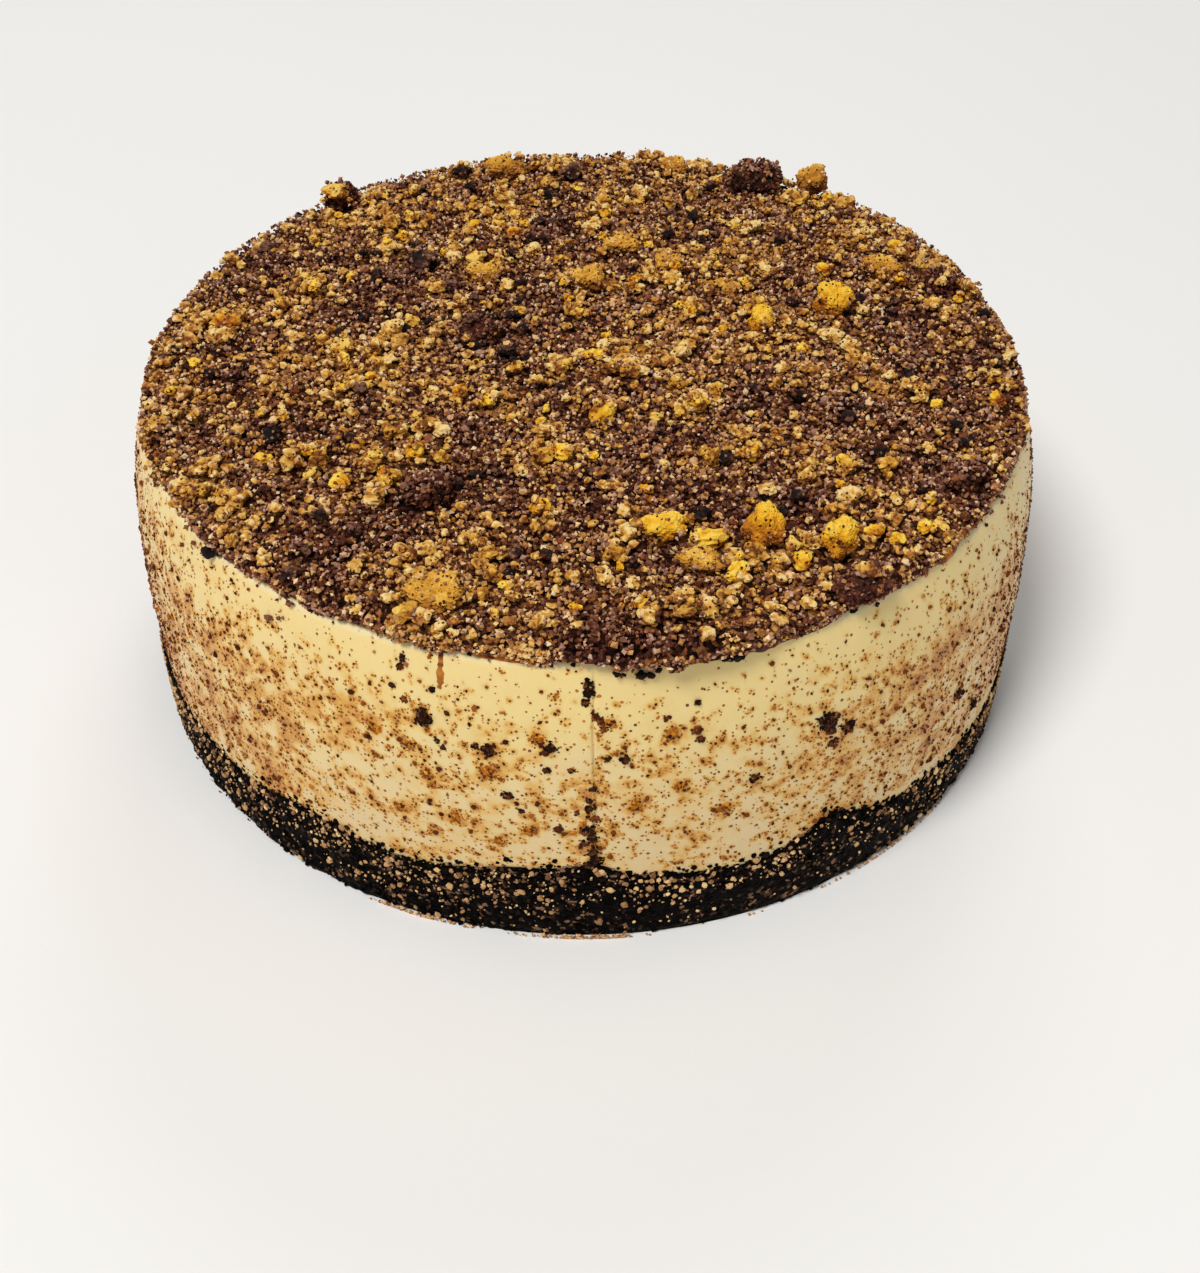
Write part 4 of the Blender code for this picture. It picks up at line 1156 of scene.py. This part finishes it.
def layStuckGrains(kinds):
    # Grains on points of the broken pieces: all over the dark and honey ones, and low on the bright ones.
    rng = np.random.default_rng(topCrumbs["stuckSeed"])
    for chunk in chunks:
        bright, form = chunk["bright"], chunk["form"]
        name, gold = ("Bright", 0.9) if bright else ("Honey", 0.7) if chunk["clean"] else ("Dark", -0.95)
        count, widths = topCrumbs["stuck" + name]
        low, high = form[:, 2].min(), form[:, 2].max()
        shown = form[(form[:, 2] > 74.8) & (form[:, 2] < (0.45 * low + 0.55 * high if bright else high))]
        centres = shown[rng.integers(0, len(shown), count)]
        width = betaWidths(widths, 1.2, 2.4, count, rng)
        centres[:, 2] = np.minimum(centres[:, 2], topCrumbs["highest"] - 0.6 * width)
        shareOut(kinds, centres, width, 0.85, np.full(count, gold), rng, dim=1.0 if chunk["clean"] else 0.5)


def layClumps(name, ground, field, wish, material, slotName, level=2, extra=((),) * 5):
    # Soft clumps of crumbs stuck together: lobed forms, flattened, each on the ground below it.
    template = ballTemplate(level)
    count, widths, seed = topCrumbs[name]
    rng = np.random.default_rng(seed)
    x, y = scatterPlaces(6 * count, rng, -2.5)
    if name == "rimClumps":  # these break the outline of the top
        stretch = (outerLine(np.arctan2(y, x)) - rng.uniform(0.2, 3.4, len(x))) / np.hypot(x, y)
        x, y = x * stretch, y * stretch
    keep = clearOfChunks(x, y, 1.15) & (rng.random(len(x)) < np.clip(0.22 + wish * field(x, y), 0.02, 1.0))
    x, y = x[keep][:count], y[keep][:count]
    width = betaWidths(widths, 1.2, 2.6, len(x), rng)
    size = (x, y, width, width * rng.uniform(0.65, 1.0, len(x)), width * rng.uniform(0.55, 0.75, len(x)))
    x, y, width, depth, height = (np.concatenate(pair) for pair in zip(size, extra))
    middle = settle(ground, x, y, width, height, 0.26)
    keepClear(ground, x, y, 0.75 * np.minimum(width, depth))
    reach = lobedForms(template, len(x), rng)
    reach = reach * (1.0 + 0.15 * rng.uniform(-1, 1, reach.shape))
    form = template[0][None] * reach[..., None]
    form = form / (form.max(axis=1, keepdims=True) - form.min(axis=1, keepdims=True))
    form = form * np.stack([width, depth, height], -1)[:, None]
    turn = rng.uniform(0.0, 2.0 * np.pi, len(x))[:, None]
    turned = np.stack([form[..., 0] * np.cos(turn) - form[..., 1] * np.sin(turn),
                       form[..., 0] * np.sin(turn) + form[..., 1] * np.cos(turn), form[..., 2]], -1)
    points = (turned + np.stack([x, y, middle], -1)[:, None]).reshape(-1, 3)
    points[:, 2] = np.minimum(points[:, 2], topCrumbs["highest"] - 0.3)
    # Painted light and shade: lighter on top and darker in the creases between lobes, plus a random tone for each
    # clump and point
    crease = (reach - reach.mean(axis=1, keepdims=True)) * 1.8
    tone = 0.42 + 0.22 * (template[0][None, :, 2]) + crease + 0.34 * rng.uniform(-1, 1, (len(x), 1))
    tone = np.clip(tone + 0.2 * rng.uniform(-1, 1, reach.shape), 0.0, 1.0)
    putGrains(name, (points, copiedFaces(template, len(x)), tone), material, slotName)


crumbKinds = {  # material, scale of the width, slot, in the order of a grain's luck
    "paleCrumbs": (paleCrumbGlintMaterial, 0.75, "mixed_crumbs"),
    "tanCrumbs": (tanMaterial, 1.0, "mixed_crumbs"),
    "goldenCrumbs": (goldenMaterial, 1.0, "golden_biscuit"),
    "russetCrumbs": (russetMaterial, 1.0, "mixed_crumbs"),
    "cocoaCrumbs": (cocoaMaterial, 1.08, "mixed_crumbs"),
}


def shareOut(kinds, centres, width, flat, gold, rng, free=True, dim=1.0):
    # Each grain falls to one kind by chance; the more golden its place and the larger the grain, the fewer are dark.
    # Free ones are never buried.
    luck = rng.random(len(width))
    # The share of pale crumbs, which are partly painted glints
    pale = 0.06
    large = np.clip((width - 0.6) / 1.1, 0.0, 1.0)
    tan = pale + np.clip(0.2 + 0.3 * large + 0.35 * gold, 0.02, 0.7)
    golden = tan + np.clip(0.045 + 0.12 * gold, 0.0, 0.2)
    russet = golden + np.clip(0.22 + 0.02 * gold, 0.12, 0.3)
    chosen = (luck >= pale) * 1 + (luck >= tan) + (luck >= golden) + (luck >= russet)
    for number, (kind, (_, scale, _)) in enumerate(crumbKinds.items()):
        mine = chosen == number
        tones = dim * rng.beta(1.15, 1.45, mine.sum())
        kinds[kind].append((centres[mine], scale * width[mine], flat, tones, free))


def inSyrup(x, y, rng):
    # True in the stretches of the rim where golden crumbs lie in syrup, with a ragged limit.
    angle, radius = np.degrees(np.arctan2(y, x)), np.hypot(x, y)
    found = np.zeros(len(x), bool)
    for syrupAngle, halfWidth in topCrumbs["syrup"]:
        ragged = rng.uniform(0.3, 1.2, len(x))
        found |= (np.abs(angle - syrupAngle) < halfWidth * ragged) & (radius > 98.0 - 2.6 * ragged)
    return found


def layEdgeCrumbs(kinds):
    # Grains on the layer's upright edge, and below it some that hang under its overhang, in patches, further in
    # the lower they are.
    for count, widths, low, high, seed in topCrumbs["edge"]:
        rng = np.random.default_rng(seed)
        angle = rng.uniform(-np.pi, np.pi, count)
        height = rng.uniform(low, high, count)
        if low < cakeForm["fillingTop"]:
            # Few where the glaze and the dark lumps show
            calm = 0.7 * bell(angle - np.radians(-79.0), np.radians(8.0))
            shown = (height - low) / (high - low) > 0.5 + calm - 2.2 * ringNoise(angle, 5.0, 168, 3)
            angle, height = angle[shown], height[shown]
        width = betaWidths(widths, 1.2, 2.6, len(angle), rng)
        under = np.maximum(bedFoot - height, 0.0)
        radius = np.maximum(sideRadius(height) + 0.1 * width, layerEdge(angle) + 0.1 - 0.25 * under)
        centres = onSide(angle, radius, height)
        x, y = centres[:, 0], centres[:, 1]
        shareOut(kinds, centres, width, 0.85, np.where(inSyrup(x, y, rng), 1.2, goldField(x, y) - 0.25), rng)


def layGrains(name, ground, flat, kinds):
    # Loose grains in a few passes. The patch they fall in sets the chance of each kind.
    count, widths, passes, seed = topCrumbs[name]
    rng = np.random.default_rng(seed)
    for _ in range(passes):
        x, y = rimPlaces(count // passes, rng) if name == "rim" else scatterPlaces(count // passes, rng, -0.3)
        keep = clearOfChunks(x, y, 0.92) | (rng.random(len(x)) < 0.01)
        keep &= ~ground["kept"][cellsAt(ground, x, y)] | (rng.random(len(x)) < 0.24)
        x, y = x[keep], y[keep]
        width = betaWidths(widths, 1.3, 2.2, len(x), rng)
        middle = settle(ground, x, y, width, flat * width, 0.34)
        centres = np.stack([x, y, np.minimum(middle, topCrumbs["highest"] - 0.6 * width)], -1)
        gold = np.where(ground["burnt"][cellsAt(ground, x, y)], -1.5, goldField(x, y))
        shareOut(kinds, centres, width, flat, np.where(inSyrup(x, y, rng), 1.2, gold), rng, free=False)


def makeTopCrumbs():
    ground = newGround(topCrumbs["cell"])
    kinds = {kind: [] for kind in crumbKinds}
    layGrains("medium", ground, 0.8, kinds)
    layGrains("fine", ground, 0.9, kinds)
    layClumps("cocoaClumps", ground, lambda x, y: -goldField(x, y), 0.6, darkBiscuitMaterial, "mixed_crumbs",
              extra=zip(*darkBits))
    layClumps("softClumps", ground, goldField, 0.6, tanBiscuitMaterial, "mixed_crumbs")
    layClumps("honeyClumps", ground, goldField, 0.7, honeyBiscuitMaterial, "golden_biscuit")
    layClumps("goldenClumps", ground, goldField, 0.8, goldenBiscuitMaterial, "golden_biscuit",
              extra=zip(*goldenBits))
    layClumps("rimClumps", ground, goldField, 0.3, tanBiscuitMaterial, "mixed_crumbs")
    layClumps("smallClumps", ground, goldField, 0.5, tanBiscuitMaterial, "mixed_crumbs", 1)
    layGrains("last", ground, 0.9, kinds)
    layGrains("rim", ground, 0.8, kinds)
    layEdgeCrumbs(kinds)
    layStuckGrains(kinds)
    for kind in ("cocoaCrumbs", "russetCrumbs", "tanCrumbs", "goldenCrumbs", "paleCrumbs"):
        rng = np.random.default_rng(580 + len(kind))
        parts = []
        for centres, widths, flat, tones, free in kinds[kind]:
            # A grain that later ones have buried isn't made
            top = centres[:, 2] + 0.5 * widths * flat
            seen = free | (top > meanGround(ground, centres[:, 0], centres[:, 1], 0) - 0.13 * widths)
            parts.append(grainsBySize(centres[seen], widths[seen], 1.7, flat, rng, tones[seen]))
        putGrains(kind, merged(parts), crumbKinds[kind][0], crumbKinds[kind][2])


print("loose crumbs on top")
makeTopCrumbs()


# Glaze, drip and dark lumps at the rim

glazes = {  # from and to, in degrees, thickness and width in mm, seed
    "redRimGlaze": (-84.0, -58.0, 0.35, 3.7, 180),
    "amberRimGlaze": (-104.0, -92.0, 0.3, 3.1, 184),
    "rightAmberRimGlaze": (-47.0, -39.0, 0.3, 3.0, 188),
}
drip = {"angle": -104.9, "top": 74.4, "low": 65.0, "width": 1.6, "rows": 60, "turns": 18}
# Dark lumps that hang at the rim: angle, height, width
rimLumps = (
    (-86.0, 71.6, 2.4), (-85.2, 71.0, 1.3), (-83.4, 71.2, 2.8), (-82.4, 70.7, 2.2), (-81.6, 71.6, 1.8),
    (-74.0, 72.4, 3.6), (-72.8, 72.1, 3.4), (-136.6, 74.0, 5.0), (-137.6, 72.8, 3.6), (-66.5, 73.5, 1.8),
    (-64.9, 73.2, 1.4), (-58.2, 73.4, 2.0), (-55.0, 72.6, 1.3), (-78.6, 72.9, 1.5), (-90.6, 73.0, 1.3),
    (-101.8, 73.2, 1.2))


def syrupMaterial(name, thin, deep):
    # Baked-on sugar syrup, a thin clear glaze: glossy, deeper in colour where it is thicker.
    material, tree, where = newMaterial(name, {"Roughness": 0.3, "IOR": 1.45, "Specular IOR Level": 0.35})
    cloud = noiseNode(tree, where, 1.8, 3.0)["Fac"]
    finishMaterial(tree, rampNode(tree, f"0.36 {deep}, 0.6 {thin}", cloud), (cloud, 0.3, 0.2, False))
    return material


redGlaze = syrupMaterial("redBrownGlaze", "#6e200a", "#2c0a03")
amberGlaze = syrupMaterial("amberGlaze", "#cc7a1c", "#6a2a06")


def rimPoint(along):
    # A point of the rim's profile: along is mm down from the flat top, over the rounded edge and down the side.
    profile = np.vstack([(92.0, 74.0), np.array(cakeForm["side"])[::-1]])
    length = np.concatenate([[0.0], np.cumsum(np.hypot(*np.diff(profile, axis=0).T))])
    return np.interp(along, length, profile[:, 0]), np.interp(along, length, profile[:, 1])


def makeGlaze(name, material):
    # A thin closed strip along the rim: round its section, the place goes from its upper to its lower line by
    # (1 - cos) / 2, and stands out by thickness * sin.
    start, end, thickness, lower, seed = glazes[name]
    columns, turns = 160, 20
    u = np.linspace(0.0, 1.0, columns)
    angle = np.radians(start + (end - start) * u)
    taper = np.sin(np.pi * np.clip(u, 0.002, 0.998)) ** 0.4
    reach = (lower + 1.1 * ringNoise(angle, 4.0, seed, 3)) * taper
    v = 2.0 * np.pi * np.arange(turns) / turns
    along = 2.2 + (reach[:, None] + 1.0) * ((1.0 - np.cos(v)) / 2.0)[None]
    radius, height = rimPoint(along)
    ahead, drop = rimPoint(along + 0.1)
    out = np.stack([height - drop, ahead - radius], -1)
    out = out / np.linalg.norm(out, axis=-1, keepdims=True)
    stand = np.where(np.sin(v) > 0.0, thickness, 0.15)[None] * np.sin(v)[None] * taper[:, None]
    radius, height = radius + stand * out[..., 0], height + stand * out[..., 1]
    points = onSide(np.broadcast_to(angle[:, None], radius.shape), radius, height).reshape(-1, 3)
    quads, first, last = tubeFaces(columns, turns)
    putMesh(name, points, [quads[:, [0, 3, 2, 1]], first[:, ::-1], last[:, ::-1]], material, "golden_biscuit")


def makeDrip():
    # A half-round bead down the side: its width swells towards the lower end and closes there to a point.
    rows, turns = drip["rows"], drip["turns"]
    t = np.linspace(0.0, 1.0, rows)
    place = np.stack([t * 20.0, 0 * t, 0 * t], -1)
    height = drip["top"] + (drip["low"] - drip["top"]) * t
    half = 0.5 * drip["width"] * (0.8 + 0.2 * t + 0.6 * layeredNoise(place, 1.8, 171, 2))
    half = half * np.sqrt(np.clip(1.0 - np.clip((t - 0.78) / 0.22, 0.0, 1.0) ** 2, 0.0, 1.0)) + 0.01
    v = 2.0 * np.pi * np.arange(turns) / turns
    side = half[:, None] * np.cos(v)[None] + 0.28 * layeredNoise(place, 4.0, 175, 3)[:, None]
    stand = np.where(np.sin(v) > 0.0, 0.3, 0.2)[None] * half[:, None] * np.sin(v)[None]
    # Over the rim the bead follows the rounded edge of the filling
    radius = np.where(height > 73.6, 96.3 - 0.5 * (height - 73.6), sideRadius(np.minimum(height, 73.6)))
    angle = np.radians(drip["angle"]) + side / 99.0
    heights = np.broadcast_to(height[:, None], side.shape)
    points = onSide(angle, radius[:, None] + stand, heights).reshape(-1, 3)
    # Darkest in two spots near its top, and deeper again towards the tip
    tone = 0.8 - 0.75 * bell(t - 0.22, 0.07) - 0.5 * bell(t - 0.42, 0.05) - 0.3 * smoothStep(0.45, 0.9, t)
    values = {"tone": np.repeat(tone, turns)}
    putMesh("syrupDrip", points, tubeFaces(rows, turns), dripMaterial, "golden_biscuit", values=values)


def makeRimLumps():
    template = ballTemplate(2)
    angle, height, width = (np.array(part) for part in zip(*rimLumps))
    angle = np.radians(angle)
    reach = lobedForms(template, len(angle), np.random.default_rng(620))
    form = template[0][None] * reach[..., None] * 0.5 * width[:, None, None] * (1.0, 0.8, 0.85)
    centres = onSide(angle, sideRadius(height) + 0.26 * width, height)
    points = np.einsum("nki,nij->nkj", form, sideAxes(angle)) + centres[:, None]
    # Near black, and darker in the creases between lobes as painted shade
    values = {"tone": np.clip(0.12 + (reach - reach.mean()) * 1.5, 0.0, 1.0)}
    faces = [copiedFaces(template, len(angle))]
    putMesh("rimLumps", points.reshape(-1, 3), faces, darkBiscuitMaterial, "dark_biscuit", values=values)


print("glaze, drip and rim lumps")
makeGlaze("redRimGlaze", redGlaze)
makeGlaze("amberRimGlaze", amberGlaze)
makeGlaze("rightAmberRimGlaze", amberGlaze)
makeDrip()
makeRimLumps()
